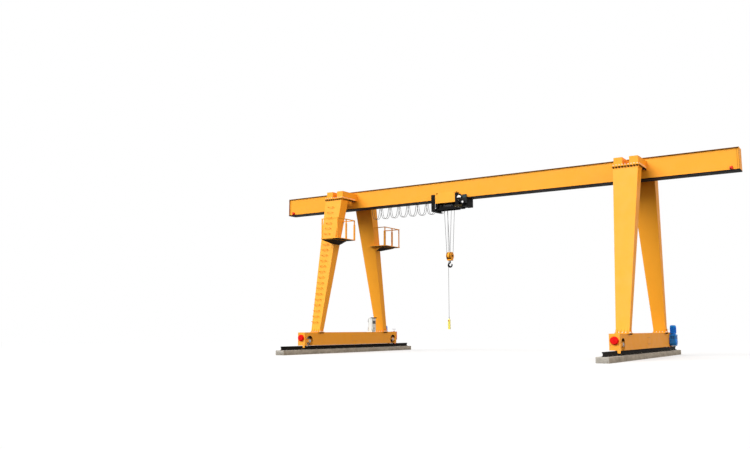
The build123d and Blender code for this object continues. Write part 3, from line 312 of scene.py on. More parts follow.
# By name: the colour, the roughness and what else differs
PAINTS = {
    # under: how strongly painted shade darkens the undersides of that paint
    "crane_yellow": (YELLOW, 0.55, dict(patch=0.015, streak=0.09, under=1.0)),
    "rung_yellow": (scaled(YELLOW, 0.92), 0.55, dict(patch=0.03, streak=0.09)),
    "pale_yellow_paint": ((0.90, 0.40, 0.028), 0.55, dict(patch=0.03, streak=0.05, under=0.85)),
    "black_paint": (
        (0.004, 0.004, 0.0045), 0.62, dict(patch=0.2, streak=0.03, dust=0.02, coat=0.0, spec=0.08)
    ),
    "red_paint": ((0.72, 0.018, 0.014), 0.35, {}),
    "clamp_paint": ((0.80, 0.115, 0.045), 0.38, {}),
    "blue_paint": ((0.005, 0.28, 1.0), 0.4, dict(patch=0.05)),
    "navy_paint": ((0.004, 0.13, 0.48), 0.5, dict(patch=0.1)),
    "grey_paint": ((0.009, 0.010, 0.012), 0.55, dict(patch=0.12, coat=0.0, spec=0.12)),
    "teal_paint": ((0.008, 0.030, 0.038), 0.5, dict(patch=0.1, coat=0.0)),
    "olive_paint": ((0.026, 0.018, 0.003), 0.6, dict(patch=0.2, coat=0.0, spec=0.1)),
    # Brown of the trolley pins and of the seams near the girder ends, and painted shade on the girder's
    # flange and end plate edges
    "edge_brown": ((0.27, 0.105, 0.003), 0.7, dict(patch=0.1, coat=0.0, spec=0.02)),
    "white_paint": ((0.74, 0.81, 0.83), 0.4, dict(patch=0.03, dust=0.08)),
    "bright_cap": ((0.84, 0.85, 0.86), 0.3, dict(patch=0.03, streak=0.04)),
    "pendant_plastic": ((0.92, 0.84, 0.13), 0.3, dict(patch=0.02, streak=0.05, coat=0.5)),
    "green_button": ((0.03, 0.42, 0.10), 0.3, {}),
}
RUBBERS = {
    "red_rubber": ((0.70, 0.004, 0.003), 0.6, dict(dust=0.03, spec=0.1)),
    "cable_black": ((0.016, 0.016, 0.018), 0.55, {}),
    "cable_grey": ((0.11, 0.11, 0.12), 0.55, {}),
}
METALS = {
    "zinc_steel": ((0.55, 0.56, 0.58), 0.35, dict(rust=0.08)),
    "wheel_steel": ((0.42, 0.43, 0.45), 0.28, dict(rust=0.25)),
    "drum_steel": ((0.07, 0.07, 0.073), 0.6, dict(rust=0.1)),
    "wire_rope": ((0.012, 0.012, 0.013), 0.55, dict(rust=0.03)),
    "bolt_steel": ((0.30, 0.29, 0.28), 0.4, dict(rust=0.3)),
}
M = {"concrete": concrete("concrete"), "dark_glass": glass_dark("dark_glass")}
for make, looks in ((painted, PAINTS), (rubber, RUBBERS), (bare_metal, METALS)):
    M.update({name: make(name, colour, rough, **more) for name, (colour, rough, more) in looks.items()})

for entry in frame["record"]["subparts"]:
    node = nodes[entry["node"]]
    node.data.materials.clear()
    node.data.materials.append(M[entry["material_slot"]])
for name in ("front_leg_rungs", "rear_leg_rungs"):
    nodes[name].data.materials[0] = M["rung_yellow"]


# Mesh making
WASHER_SHARES = (0.12, 0.62)
CROWN_SHARES = (0.82, 0.42)
BEVEL_SEGMENTS = 2
BEVEL_ANGLE = 40


def turns(count, first=0.0):
    """Angles evenly round a circle."""
    return [first + 2 * math.pi * k / count for k in range(count)]


class Shape:
    """Collects vertices and faces of many closed bodies into one mesh."""

    def __init__(self):
        self.points = []
        self.faces = []

    def add(self, points, faces):
        start = len(self.points)
        self.points.extend(Vector(p) for p in points)
        self.faces.extend(tuple(start + i for i in face) for face in faces)

    def skin(self, points, sides):
        """Closes rings of points, each with so many sides, into one body with flat ends."""
        faces = []
        last = len(points) - sides
        for ring in range(0, last, sides):
            for i in range(sides):
                a, b = ring + i, ring + (i + 1) % sides
                faces.append((a, b, b + sides, a + sides))
        faces.append(tuple(reversed(range(sides))))
        faces.append(tuple(range(last, last + sides)))
        self.add(points, faces)

    def box(self, centre, size, turn=None):
        centre, half = Vector(centre), Vector(size) / 2
        corners = [Vector((x * half.x, y * half.y, z * half.z)) for z in BOTH for y in BOTH for x in BOTH]
        if turn is not None:
            corners = [turn @ c for c in corners]
        faces = [(0, 2, 3, 1), (4, 5, 7, 6), (0, 1, 5, 4), (2, 6, 7, 3), (0, 4, 6, 2), (1, 3, 7, 5)]
        self.add([centre + c for c in corners], faces)

    def fins(self, centre, axis, reach, size, angles):
        """Boxes standing round an axis, each at the angle's turn of reach."""
        for angle in angles:
            turn = Matrix.Rotation(angle, 3, axis)
            self.box(Vector(centre) + turn @ Vector(reach), size, turn)

    def lathe(self, start, axis, profile, sides):
        """Turns (distance along axis, radius) pairs about the axis. Both ends are closed."""
        start, axis = Vector(start), Vector(axis).normalized()
        side = axis.orthogonal().normalized()
        up = axis.cross(side)
        points = []
        for along, radius in profile:
            for angle in turns(sides):
                points.append(start + axis * along + (side * math.cos(angle) + up * math.sin(angle)) * radius)
        self.skin(points, sides)

    def rod(self, start, end, radius, sides):
        start, end = Vector(start), Vector(end)
        self.lathe(start, end - start, [(0, radius), ((end - start).length, radius)], sides)

    def bolt(self, place, axis, width, height):
        """A hexagon head on a washer, standing on a face at place."""
        washer, washer_radius = (width * share for share in WASHER_SHARES)
        self.lathe(place, axis, [(0, washer_radius), (washer, washer_radius)], 16)
        head = Vector(place) + Vector(axis).normalized() * washer
        crown = [(0, width / 2), (height * CROWN_SHARES[0], width / 2), (height, width * CROWN_SHARES[1])]
        self.lathe(head, axis, crown, 6)

    def bolt_row(self, start, end, count, axis, size):
        start, end = Vector(start), Vector(end)
        for i in range(count):
            self.bolt(start.lerp(end, i / (count - 1)), axis, *size)

    def bolt_grid(self, xs, ys, zs, axis, size):
        for place in product(xs, ys, zs):
            self.bolt(place, axis, *size)

    def bolt_circle(self, centre, axis, radius, angles, size):
        """Bolts on a circle about centre, whose axis lies along X, Y or Z."""
        first, second = (i for i in range(3) if axis[i] == 0)
        for angle in angles:
            place = list(centre)
            place[first] += radius * math.cos(angle)
            place[second] += radius * math.sin(angle)
            self.bolt(place, axis, *size)

    def wedge(self, corners, thickness_axis, thickness):
        """A flat plate with the outline corners, thickened both ways along the axis."""
        off = Vector(thickness_axis).normalized() * thickness / 2
        corners = [Vector(c) for c in corners]
        n = len(corners)
        points = [c - off for c in corners] + [c + off for c in corners]
        faces = [tuple(reversed(range(n))), tuple(range(n, 2 * n))]
        faces += [(i, (i + 1) % n, n + (i + 1) % n, n + i) for i in range(n)]
        self.add(points, faces)

    def sweep(self, path, radius, sides, up):
        """A round bar along the path."""
        path = [Vector(p) for p in path]
        points = []
        for i, here in enumerate(path):
            before, after = path[max(i - 1, 0)], path[min(i + 1, len(path) - 1)]
            along = (after - before).normalized()
            side = along.cross(Vector(up)).normalized()
            lift = side.cross(along).normalized()
            for angle in turns(sides):
                points.append(here + (side * math.cos(angle) + lift * math.sin(angle)) * radius)
        self.skin(points, sides)


def shapes(count):
    return [Shape() for _ in range(count)]


def fix_normals(mesh):
    work = bmesh.new()
    work.from_mesh(mesh)
    bmesh.ops.recalc_face_normals(work, faces=work.faces)
    work.to_mesh(mesh)
    work.free()


def piece(name, shape, body, material, bevel=0.0, smooth=30.0):
    """Makes a mesh object that rides on a body."""
    mesh = bpy.data.meshes.new(name)
    mesh.from_pydata([tuple(p) for p in shape.points], [], shape.faces)
    fix_normals(mesh)
    mesh.materials.append(M[material])
    obj = add_object(name, mesh)
    if smooth:
        mesh.shade_smooth()
        mesh.set_sharp_from_angle(angle=math.radians(smooth))
    if bevel:
        edge = obj.modifiers.new("edge", "BEVEL")
        edge.width = bevel
        edge.segments = BEVEL_SEGMENTS
        edge.limit_method = "ANGLE"
        edge.angle_limit = math.radians(BEVEL_ANGLE)
        edge.harden_normals = True
    if body:
        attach(obj, body)
    return obj


# Cable loops of the festoon: two cables in each of eight loops
LOOPS = 8
LOOP_PITCH = 0.594
TOWED_X = -2.15
FIXED_X = TOWED_X - LOOPS * LOOP_PITCH
CABLE_Y = 0.5
SADDLE_LOW_Z = 8.23
CABLE_OFFSET = 0.025
LOOP_DEPTH = 0.8
LOOP_SHARES = ((1.0, 0.0), (1.0, 0.17), (0.88, 0.5), (0.68, 0.85), (0.29, 1.0))
CABLES = (("power", -0.095, 0.026, 1.0), ("control", 0.095, 0.022, 0.985))
SPLINE_ORDER, SPLINE_STEPS, CABLE_BEVEL_STEPS = 3, 10, 4


def smooth_curve(name, points, diameter, material):
    """An open NURBS spline with the points as its control points, as a round cable."""
    curve = bpy.data.curves.new(name, "CURVE")
    curve.dimensions = "3D"
    spline = curve.splines.new("NURBS")
    spline.points.add(len(points) - 1)
    for point, place in zip(spline.points, points):
        point.co = (*place, 1.0)
    spline.order_u = SPLINE_ORDER
    spline.use_endpoint_u = True
    spline.resolution_u = SPLINE_STEPS
    curve.bevel_depth = diameter / 2
    curve.bevel_resolution = CABLE_BEVEL_STEPS
    curve.use_fill_caps = True
    curve.materials.append(M[material])
    return add_object(name, curve)


def centre_line(obj):
    """The points of a curve's own line, as Blender makes it with no bevel."""
    depth, obj.data.bevel_depth = obj.data.bevel_depth, 0.0
    mesh = bpy.data.meshes.new_from_object(obj)
    obj.data.bevel_depth = depth
    points = [v.co.copy() for v in mesh.vertices]
    bpy.data.meshes.remove(mesh)
    return points


def line_length(points):
    return sum((b - a).length for a, b in zip(points, points[1:]))


def loop_points(middle_x, y, depth):
    half = LOOP_PITCH / 2 - CABLE_OFFSET
    shares = [(-w, d) for w, d in LOOP_SHARES] + [(w, d) for w, d in reversed(LOOP_SHARES)]
    return [(middle_x + half * w, y, SADDLE_LOW_Z - depth * d) for w, d in shares]


def to_mesh(obj):
    """Replaces a curve object by the mesh of its tube."""
    mesh = bpy.data.meshes.new_from_object(obj)
    name = obj.name
    material = obj.data.materials[0]
    bpy.data.objects.remove(obj)
    mesh.materials.clear()
    mesh.materials.append(material)
    mesh.shade_smooth()
    return add_object(name, mesh)


def hang(cable, node, start, length, diameter, **more):
    """Hides the node of the solids that the cable stands for."""
    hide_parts(node)


def add_festoon():
    """Each loop bends between girder and trolley so that its ends follow the two carriers beside it."""
    for i in range(LOOPS):
        left_x = FIXED_X + i * LOOP_PITCH
        for kind, offset_y, diameter, depth_share in CABLES:
            points = loop_points(left_x + LOOP_PITCH / 2, CABLE_Y + offset_y, LOOP_DEPTH * depth_share)
            curve = smooth_curve(f"festoon_{kind}_{i + 1}", points, diameter, "cable_grey")
            line = centre_line(curve)
            cable = to_mesh(curve)
            hang(cable, "festoon_cables", points[0], line_length(line), diameter, path=line)
            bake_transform(cable)


# Pendant cable, straight under the pendant's weight
PENDANT_CABLE_DIAMETER = 0.020


def add_pendant_cable():
    low_z, high_z = PENDANT_CABLE_BOX[0].z, PENDANT_CABLE_BOX[1].z
    points = [(PENDANT_X, PENDANT_Y, z) for z in (high_z, (high_z + low_z) / 2, low_z)]
    cable = smooth_curve("pendant_lead", points, PENDANT_CABLE_DIAMETER, "cable_grey")
    hang(cable, "pendant_cable", points[0], high_z - low_z, PENDANT_CABLE_DIAMETER)
    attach(cable, "trolley")


add_festoon()
add_pendant_cable()

# Leg numbers: foot and head of each tapered box
LEG_LOW_Z, LEG_TOP_Z = 1.135, 8.435
FOOT_HALF, HEAD_HALF = 0.275, 0.55
FOOT_OUTER, HEAD_OUTER = 3.27, 1.73
FOOT_INNER, HEAD_INNER = 2.94, 1.116
FLANGE_REACH, FLANGE_TOP_Z = 0.05, 8.485
EDGE_GAP = 0.004
BOLT_INSET = 0.026

# Carriage, axle and drive numbers
CARRIAGE_HALF = 0.225
WHEEL_Y, AXLE_Z = 4.02, 0.6753
DRIVE_Y = 4.08


def along_leg(foot, head, z):
    """A size of the leg at height z, between those of its foot and head."""
    return foot + (head - foot) * (z - LEG_LOW_Z) / (LEG_TOP_Z - LEG_LOW_Z)


def leg_half(z):
    return along_leg(FOOT_HALF, HEAD_HALF, z)


def leg_outer(z):
    return along_leg(FOOT_OUTER, HEAD_OUTER, z)


def leg_inner(z):
    return along_leg(FOOT_INNER, HEAD_INNER, z)


def rib(root, reach, flange_z, lip, tip, tip_z):
    """A gusset's outline: out along a flange from root to reach, over the lip and back to the tip."""
    return [(root, flange_z), (reach, flange_z), (reach, flange_z + lip), (tip, tip_z)]


def add_leg_feet():
    """Gussets and bolts on the flanged foot of each leg, with nuts under its overhang."""
    gussets, bolts, nuts = shapes(3)
    rise, lip, thick = 0.19, 0.018, 0.014
    top = LEG_LOW_Z + rise
    middle_y = (FOOT_OUTER + FOOT_INNER) / 2
    overhang = FLANGE_REACH - EDGE_GAP
    outer = rib(FOOT_OUTER - 0.01, FOOT_OUTER + overhang, LEG_LOW_Z, lip, leg_outer(top), top)
    inner = rib(FOOT_INNER + 0.02, FOOT_INNER - overhang, LEG_LOW_Z, lip, leg_inner(top) + 0.002, top)
    across = rib(FOOT_HALF - 0.01, FOOT_HALF + overhang, LEG_LOW_Z, lip, leg_half(top), top)
    bolt_size, nut_size, nut_z = (0.038, 0.036), (0.046, 0.045), 1.110
    for side, end in CORNERS:
        x0 = side * SIDE_X
        for dx in (-0.21, -0.07, 0.07, 0.21):
            for outline in (outer, inner):
                gussets.wedge([(x0 + dx, end * y, z) for y, z in outline], ALONG_X, thick)
        for dy in (-0.1, 0.0, 0.1):
            for out in BOTH:
                gussets.wedge([(x0 + out * x, end * (middle_y + dy), z) for x, z in across], ALONG_Y, thick)
        ys = (end * (FOOT_OUTER + BOLT_INSET), end * (FOOT_INNER - BOLT_INSET))
        bolts.bolt_grid([x0 + dx for dx in (-0.14, 0.0, 0.14)], ys, [LEG_LOW_Z], UP, bolt_size)
        for dy in (-0.15, -0.05, 0.05, 0.15):
            for out in BOTH:
                x, y = x0 + out * (FOOT_HALF + BOLT_INSET), end * (middle_y + dy)
                bolts.bolt((x, y, LEG_LOW_Z), UP, *bolt_size)
                nuts.bolt((x, y, nut_z), DOWN, *nut_size)
    # Painted shade: the nuts under the foot overhang are black for the shade there, while the bolt heads on
    # top are zinc
    piece("leg_foot_nuts", nuts, "gantry", "black_paint")
    piece("leg_foot_gussets", gussets, "gantry", "crane_yellow", smooth=0)
    piece("leg_foot_bolts", bolts, "gantry", "zinc_steel")


def add_leg_heads():
    """Bolts through both head flanges, gussets on the leg's sides, a front lip and ribs below."""
    gussets, bolts, nuts = shapes(3)
    lip, rib_thick, side_thick = -0.02, 0.014, 0.012
    side_lip = -0.018
    side_low, inner_low, front_low = (LEG_TOP_Z - drop for drop in (0.17, 0.2, 0.11))
    reach = HEAD_HALF + FLANGE_REACH - EDGE_GAP
    across = rib(HEAD_HALF - EDGE_GAP, reach, LEG_TOP_Z, side_lip, leg_half(side_low), side_low)
    inner = rib(HEAD_INNER + 0.01, 0.56, LEG_TOP_Z, lip, leg_inner(inner_low) + 0.004, inner_low)
    front = rib(HEAD_OUTER, 1.791, LEG_TOP_Z, lip, leg_outer(front_low), front_low)
    row_start, row_end, inner_row_y, front_row_y = 1.633, 0.53, 0.515, 1.764
    front_count, front_pitch, front_half = 9, 0.13, 0.52
    nut, bolt = (0.048, 0.055), (0.040, 0.028)
    for side, end in CORNERS:
        x0 = side * SIDE_X
        for out in BOTH:
            for i in range(5):
                y = end * (1.70 - i * 0.135)
                gussets.wedge([(x0 + out * x, y, z) for x, z in across], ALONG_Y, side_thick)
            x = x0 + out * (HEAD_HALF + BOLT_INSET)
            for shape, z, axis, size in ((nuts, LEG_TOP_Z, DOWN, nut), (bolts, FLANGE_TOP_Z, UP, bolt)):
                shape.bolt_row((x, end * row_start, z), (x, end * row_end, z), 9, axis, size)
        for dx in (-0.42, -0.14, 0.14, 0.42):
            gussets.wedge([(x0 + dx, end * y, z) for y, z in inner], ALONG_X, rib_thick)
        row = [(x0 + out * 0.5, end * inner_row_y, LEG_TOP_Z) for out in BOTH]
        bolts.bolt_row(*row, 8, DOWN, (0.034, 0.022))
        gussets.box((x0, end * 1.762, (LEG_TOP_Z + FLANGE_TOP_Z) / 2), (1.2, 0.064, 0.050))
        for i in range(front_count):
            x = x0 + i * front_pitch - front_half
            nuts.bolt((x, end * front_row_y, LEG_TOP_Z), DOWN, 0.052, 0.070)
            bolts.bolt((x, end * front_row_y, FLANGE_TOP_Z), UP, 0.038, 0.034)
            if i < front_count - 1:
                between = x + front_pitch / 2
                gussets.wedge([(between, end * y, z) for y, z in front], ALONG_X, rib_thick)
    piece("leg_head_gussets", gussets, "gantry", "crane_yellow", smooth=0)
    piece("leg_head_bolts", bolts, "gantry", "zinc_steel")
    # Painted shade: the nuts under the head flanges and front lip are black for the shade there, while the
    # bolt heads on top are zinc
    piece("leg_head_nuts", nuts, "gantry", "black_paint")


def add_bearing_caps():
    """A bolted cap over each end of the wheel axles, left off where the gearbox sits."""
    caps, bolts = shapes(2)
    rim = 0.016
    cap = [(0, 0.088), (0.012, 0.088), (rim, 0.083), (rim, 0.055), (0.026, 0.05), (0.028, 0.044)]
    for side, end in CORNERS:
        for out in BOTH:
            if end > 0 and out == side:
                continue
            x, axis = side * SIDE_X + out * CARRIAGE_HALF, (out, 0, 0)
            caps.lathe((x, end * WHEEL_Y, AXLE_Z), axis, cap, 32)
            centre = (x + out * rim, end * WHEEL_Y, AXLE_Z)
            bolts.bolt_circle(centre, axis, 0.070, turns(6, math.pi / 6), (0.018, 0.011))
    piece("bearing_caps", caps, "gantry", "wheel_steel")
    piece("bearing_cap_bolts", bolts, "gantry", "bolt_steel")


def add_rail_clips():
    """Pairs of rail clips with anchor bolts along both rails."""
    clips, bolts = shapes(2)
    count, pitch, first_y, clip_x = 20, 0.6, -5.7, 0.104
    for side in BOTH:
        for i in range(count):
            y = first_y + i * pitch
            for out in BOTH:
                x = side * SIDE_X + out * clip_x
                clips.box((x, y, 0.2455), (0.052, 0.06, 0.021))
                clips.box((x - out * 0.026, y, 0.259), (0.03, 0.045, 0.008))
                bolts.bolt((x + out * 0.004, y, 0.256), UP, 0.024, 0.018)
    piece("rail_clips", clips, "runway", "black_paint", bevel=0.002, smooth=0)
    piece("rail_clip_bolts", bolts, "runway", "bolt_steel")


def add_carriage_fixings():
    """Buffer bolts on the carriage ends, edge seams and a bolted cover on the outer face."""
    plates, bolts = shapes(2)
    end_y, cover_thick, seam_thick, seam_height = 4.415, 0.006, 0.005, 0.007
    low_seams, high_seams = ((-end_y, -4.33), (-3.66, 3.66)), ((-end_y, end_y),)
    for side in BOTH:
        x0 = side * SIDE_X
        heights = (0.50, 0.66, 1.01, 1.07)
        bolts.bolt_grid((x0 - 0.18, x0 + 0.18), [-4.42], heights, (0, -1, 0), (0.022, 0.016))
        for out in BOTH:
            face = x0 + out * CARRIAGE_HALF
            plates.box((face + out * cover_thick / 2, 0.0, 0.78), (cover_thick, 0.46, 0.34))
            xs, ys = [face + out * cover_thick], (-0.2, -0.067, 0.067, 0.2)
            bolts.bolt_grid(xs, ys, (0.64, 0.92), (out, 0, 0), (0.016, 0.010))
            for z, runs in ((0.444, low_seams), (1.105, high_seams)):
                for y0, y1 in runs:
                    centre = (face + out * seam_thick / 2, (y0 + y1) / 2, z)
                    plates.box(centre, (seam_thick, y1 - y0, seam_height))
    piece("carriage_covers", plates, "gantry", "crane_yellow", bevel=0.0015, smooth=0)
    piece("carriage_bolts", bolts, "gantry", "bolt_steel")


def add_travel_drives():
    """Cooling fins, cowl, oil plugs, darker blue plates on the upper gearbox and cover bolts of both travel
    drives.
    """
    body, bolts, dark, upper_dark_plates = shapes(4)
    eye_gap = 0.12
    fin_angles = [a for a in turns(36) if math.sin(a) <= 1 - eye_gap]
    cowl = [(0, 0.141), (0.055, 0.141), (0.07, 0.128), (0.07, 0.118)]
    grille = [(0, 0.085), (0.002, 0.085)]
    foot = [(0, 0.125), (0.018, 0.125), (0.022, 0.115)]
    cover = [(0, 0.13), (0.012, 0.13), (0.016, 0.125), (0.016, 0.08), (0.03, 0.07)]
    collar = [(0, 0.121), (0.04, 0.121), (0.046, 0.112)]
    plug = [(0, 0.014), (0.022, 0.014), (0.03, 0.010)]
    for side in BOTH:
        x_mid = side * (SIDE_X + CARRIAGE_HALF + 0.145)
        face = side * (SIDE_X + CARRIAGE_HALF + 0.29)
        outwards = (side, 0, 0)
        body.fins((x_mid, DRIVE_Y, 1.235), "Z", (0.138, 0, 0), (0.018, 0.004, 0.27), fin_angles)
        body.lathe((x_mid, DRIVE_Y, 1.375), UP, cowl, 40)
        dark.lathe((x_mid, DRIVE_Y, 1.470), UP, grille, 32)
        body.lathe((x_mid, DRIVE_Y, 1.020), UP, foot, 32)
        bolts.bolt_circle((x_mid, DRIVE_Y, 1.042), UP, 0.11, turns(8, math.pi / 8), (0.018, 0.012))
        body.lathe((face, DRIVE_Y, AXLE_Z), outwards, cover, 36)
        centre = (face + side * 0.016, DRIVE_Y, AXLE_Z)
        bolts.bolt_circle(centre, outwards, 0.105, turns(8), (0.020, 0.013))
        for dy, z in ((-0.165, 0.98), (0.165, 0.98), (0.165, 0.60)):
            bolts.bolt((face, DRIVE_Y + dy, z), outwards, 0.024, 0.016)
        for dx in (-0.10, 0.0, 0.10):
            body.box((x_mid + dx, DRIVE_Y - 0.2035, 0.85), (0.012, 0.009, 0.30))
        body.box((x_mid, DRIVE_Y + 0.1975, 1.255), (0.118, 0.008, 0.008))
        # Darker blue plates over the upper part of the gearbox
        upper_dark_plates.box((face + side * 0.002, DRIVE_Y, 0.885), (0.004, 0.34, 0.15))
        upper_dark_plates.box((x_mid - side * 0.004, DRIVE_Y - 0.2005, 0.885), (0.22, 0.003, 0.15))
        upper_dark_plates.lathe((x_mid, DRIVE_Y, 1.044), UP, collar, 40)
        dark.lathe((x_mid - 0.03, DRIVE_Y + 0.17, 1.105), DOWN, plug, 16)
    piece("drive_fins", body, "gantry", "blue_paint")
    piece("drive_bolts", bolts, "gantry", "zinc_steel")
    piece("drive_upper_dark_plates", upper_dark_plates, "gantry", "navy_paint")
    piece("drive_vents", dark, "gantry", "black_paint")


def add_clamp_fittings():
    """Nut, pivot bolts and handle knobs of the rail clamps."""
    nuts, bolts = shapes(2)
    clamp_y, handle_half = 4.525, 0.16
    collar = [(0, 0.024), (0.03, 0.024)]
    knob = [(-0.022, 0.016), (-0.014, 0.021), (-0.004, 0.021), (0, 0.017)]
    nut = [(0, 0.05), (0.02, 0.05), (0.026, 0.044)]
    for side, handle in zip(BOTH, ("left_clamp_handle", "right_clamp_handle")):
        x0 = side * SIDE_X
        turning = Shape()
        turning.lathe((x0, clamp_y, 1.255), UP, collar, 24)
        for end in BOTH:
            turning.lathe((x0, clamp_y + end * handle_half, 1.27), (0, end, 0), knob, 20)
        piece(f"{handle}_knobs", turning, handle, "zinc_steel")
        nuts.lathe((x0, clamp_y, 1.12), UP, nut, 6)
        for out in BOTH:
            xs, ys = [x0 + out * 0.14], (clamp_y - 0.06, clamp_y + 0.06)
            bolts.bolt_grid(xs, ys, (0.70, 1.02), (out, 0, 0), (0.026, 0.018))
    piece("clamp_nuts", nuts, "gantry", "bolt_steel", bevel=0.001)
    piece("clamp_bolts", bolts, "gantry", "bolt_steel")


def add_cabinet_fittings():
    """Window, vents, lock, canopy trim, rear hinges and conduit of the control cabinet."""
    window, lock, trim = shapes(3)
    y0, y1 = 1.768, 2.112
    face, middle_y, lock_y = -7.748, (y0 + y1) / 2, y1 - 0.04
    vent_low_z, vent_pitch, conduit_y = 1.27, 0.022, 1.98
    window.box((face + 0.002, middle_y, 1.665), (0.004, 0.29, 0.18))
    for i in range(5):
        window.box((face + 0.001, middle_y, vent_low_z + i * vent_pitch), (0.002, 0.16, 0.008))
    piece("cabinet_window", window, "cabinet_door", "dark_glass", smooth=0)
    lock.lathe((face, lock_y, 1.50), ALONG_X, [(0, 0.018), (0.008, 0.018), (0.01, 0.015)], 24)
    lock.box((face + 0.014, lock_y, 1.475), (0.012, 0.016, 0.09))
    piece("cabinet_lock", lock, "cabinet_door", "zinc_steel", bevel=0.002)
    trim.box((-7.6835, middle_y, 1.925), (0.004, 0.432, 0.042))
    trim.box((-7.76, 1.7285, 1.925), (0.156, 0.004, 0.042))
    for z0, z1 in ((1.66, 1.84), (1.18, 1.38)):
        trim.rod((-8.03, 1.742, z0), (-8.03, 1.742, z1), 0.009, 12)
    trim.rod((-8.035, conduit_y, 1.112), (-8.035, conduit_y, 1.60), 0.016, 16)
    for z in (1.2, 1.5):
        trim.box((-8.033, conduit_y, z), (0.016, 0.06, 0.02))
    piece("cabinet_trim", trim, "gantry", "black_paint", smooth=40)


def add_girder_edges():
    """Painted shade as brown strips on the top flange edges and the end plate edges, dark seams near the
    girder ends, and seams along the web.
    """
    edge, seam = shapes(2)
    half, web_y, web_z = GIRDER_LENGTH / 2, 0.25, 8.513
    line, line_y = 0.003, 0.2512
    weld_reach, weld_rise, weld_inset = 0.257, 0.006, 0.02
    for out in BOTH:
        # Painted shade: a brown strip on each top flange edge, in place of the shade along the flange
        edge.box((0, out * 0.3205, 8.99), (GIRDER_LENGTH - 0.004, line, 0.019))
        for z in (8.0525, 8.9745):
            weld = [(web_y, z - weld_rise), (weld_reach, z), (web_y, z + weld_rise)]
            seam.wedge([(-half + weld_inset, out * y, place_z) for y, place_z in weld], ALONG_X, 0.001)
            seam.box((0, out * 0.252, z), (GIRDER_LENGTH - 0.05, 0.005, 0.009))
    for x in (-6.2, -2.1, 2.1, 6.2):
        for out in BOTH:
            seam.box((x, out * line_y, 8.51), (0.008, line, 0.90))
    for end, out in CORNERS:
        # Painted shade: brown strips on the end plate edges, in place of their shade
        edge.box((end * (half - 0.018), out * 0.285, web_z), (0.008, 0.066, 0.91))
        edge.box((end * (half - 0.10), out * line_y, web_z), (0.009, line, 0.90))
    piece("girder_edges", edge, "gantry", "edge_brown", smooth=0)
    piece("girder_seams", seam, "gantry", "crane_yellow", smooth=0)


def add_platform_fittings():
    """Post feet, caps and sleeves, and tread bars on both platforms."""
    steel, bolts = shapes(2)
    x0, deck_z, deck_x = -SIDE_X, 6.09, 1.24
    front_x, back_x, end_y = 1.27, 0.24, 3.07
    sleeved = [(front_x, 2.305), (front_x, 1.54)]
    posts = [(front_x, end_y), *sleeved, (back_x, end_y)]
    foot, foot_thick, foot_bolt = 0.078, 0.01, 0.028
    tread_y, tread_pitch = 1.62, 0.115
    for end in BOTH:
        for post_x, post_y in posts:
            x, y = x0 + post_x, end * post_y
            steel.box((x, y, deck_z + foot_thick / 2), (foot, foot, foot_thick))
            xs, ys = (x - foot_bolt, x + foot_bolt), [end * (post_y + out * foot_bolt) for out in BOTH]
            bolts.bolt_grid(xs, ys, [deck_z + foot_thick], UP, (0.012, 0.009))
            steel.box((x, y, deck_z + 1.021), (0.05, 0.05, 0.012))
            if (post_x, post_y) in sleeved:
                steel.box((x, y, deck_z + 0.42), (0.066, 0.094, 0.80))
                for rise in (0.10, 0.45, 0.78):
                    bolts.bolt((x + 0.033, y, deck_z + rise), ALONG_X, 0.020, 0.014)
        for i in range(13):
            y = tread_y + i * tread_pitch
            beside_leg = y < leg_outer(deck_z) + 0.02
            near = leg_half(deck_z) + 0.03 if beside_leg else back_x
            steel.box((x0 + (near + deck_x) / 2, end * y, deck_z + 0.002), (deck_x - near, 0.012, 0.004))
    piece("platform_treads", steel, "gantry", "crane_yellow", bevel=0.001, smooth=0)
    piece("platform_bolts", bolts, "gantry", "bolt_steel")


add_leg_feet()
add_leg_heads()
add_bearing_caps()
add_rail_clips()
add_carriage_fixings()
add_travel_drives()
add_clamp_fittings()
add_cabinet_fittings()
add_girder_edges()
add_platform_fittings()

# Wire ropes with twisted strands, stretched between trolley and hook block
DRUM_Z, SHEAVE_Z, ANCHOR_Z = 7.72, 5.07, 7.533
ROPE_Y, ROPE_TOP_X, ROPE_LOW_X = 0.1703, 0.22, 0.085
ROPE_RADIUS, CORE_RADIUS, WINDING_RADIUS = 0.010, 0.007, 0.0099
STRANDS, STRAND_SHARE, STRAND_SIDES = 6, 0.34, 5
ROPE_LAY, STEPS_PER_LAY = 0.14, 10


def twisted(shape, start, end):
    """The outer strands of a rope, as helices round its line."""
    start, end = Vector(start), Vector(end)
    along = (end - start).normalized()
    side = along.orthogonal().normalized()
    lift = along.cross(side)
    length = (end - start).length
    steps = int(length / ROPE_LAY * STEPS_PER_LAY)
    strand = ROPE_RADIUS * STRAND_SHARE
    for k in range(STRANDS):
        path = []
        for i in range(steps + 1):
            angle = 2 * math.pi * (k / STRANDS + i / STEPS_PER_LAY)
            offset = (side * math.cos(angle) + lift * math.sin(angle)) * (ROPE_RADIUS - strand)
            path.append(start + along * (length * i / steps) + offset)
        shape.sweep(path, strand, STRAND_SIDES, ALONG_Y)


def add_hoist_ropes():
    shape = Shape()
    for side in BOTH:
        for y, top_z in ((-ROPE_Y, DRUM_Z), (ROPE_Y, ANCHOR_Z)):
            share = (top_z - SHEAVE_Z) / (DRUM_Z - SHEAVE_Z)
            top_x = ROPE_LOW_X + (ROPE_TOP_X - ROPE_LOW_X) * share
            top = (HOIST_X + side * top_x, y, top_z)
            low_end = (HOIST_X + side * ROPE_LOW_X, y, SHEAVE_Z)
            twisted(shape, top, low_end)
            shape.rod(top, low_end, CORE_RADIUS, 8)
    ropes = piece("hoist_wire_ropes", shape, None, "wire_rope", smooth=60)
    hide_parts("hoist_ropes")
    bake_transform(ropes)


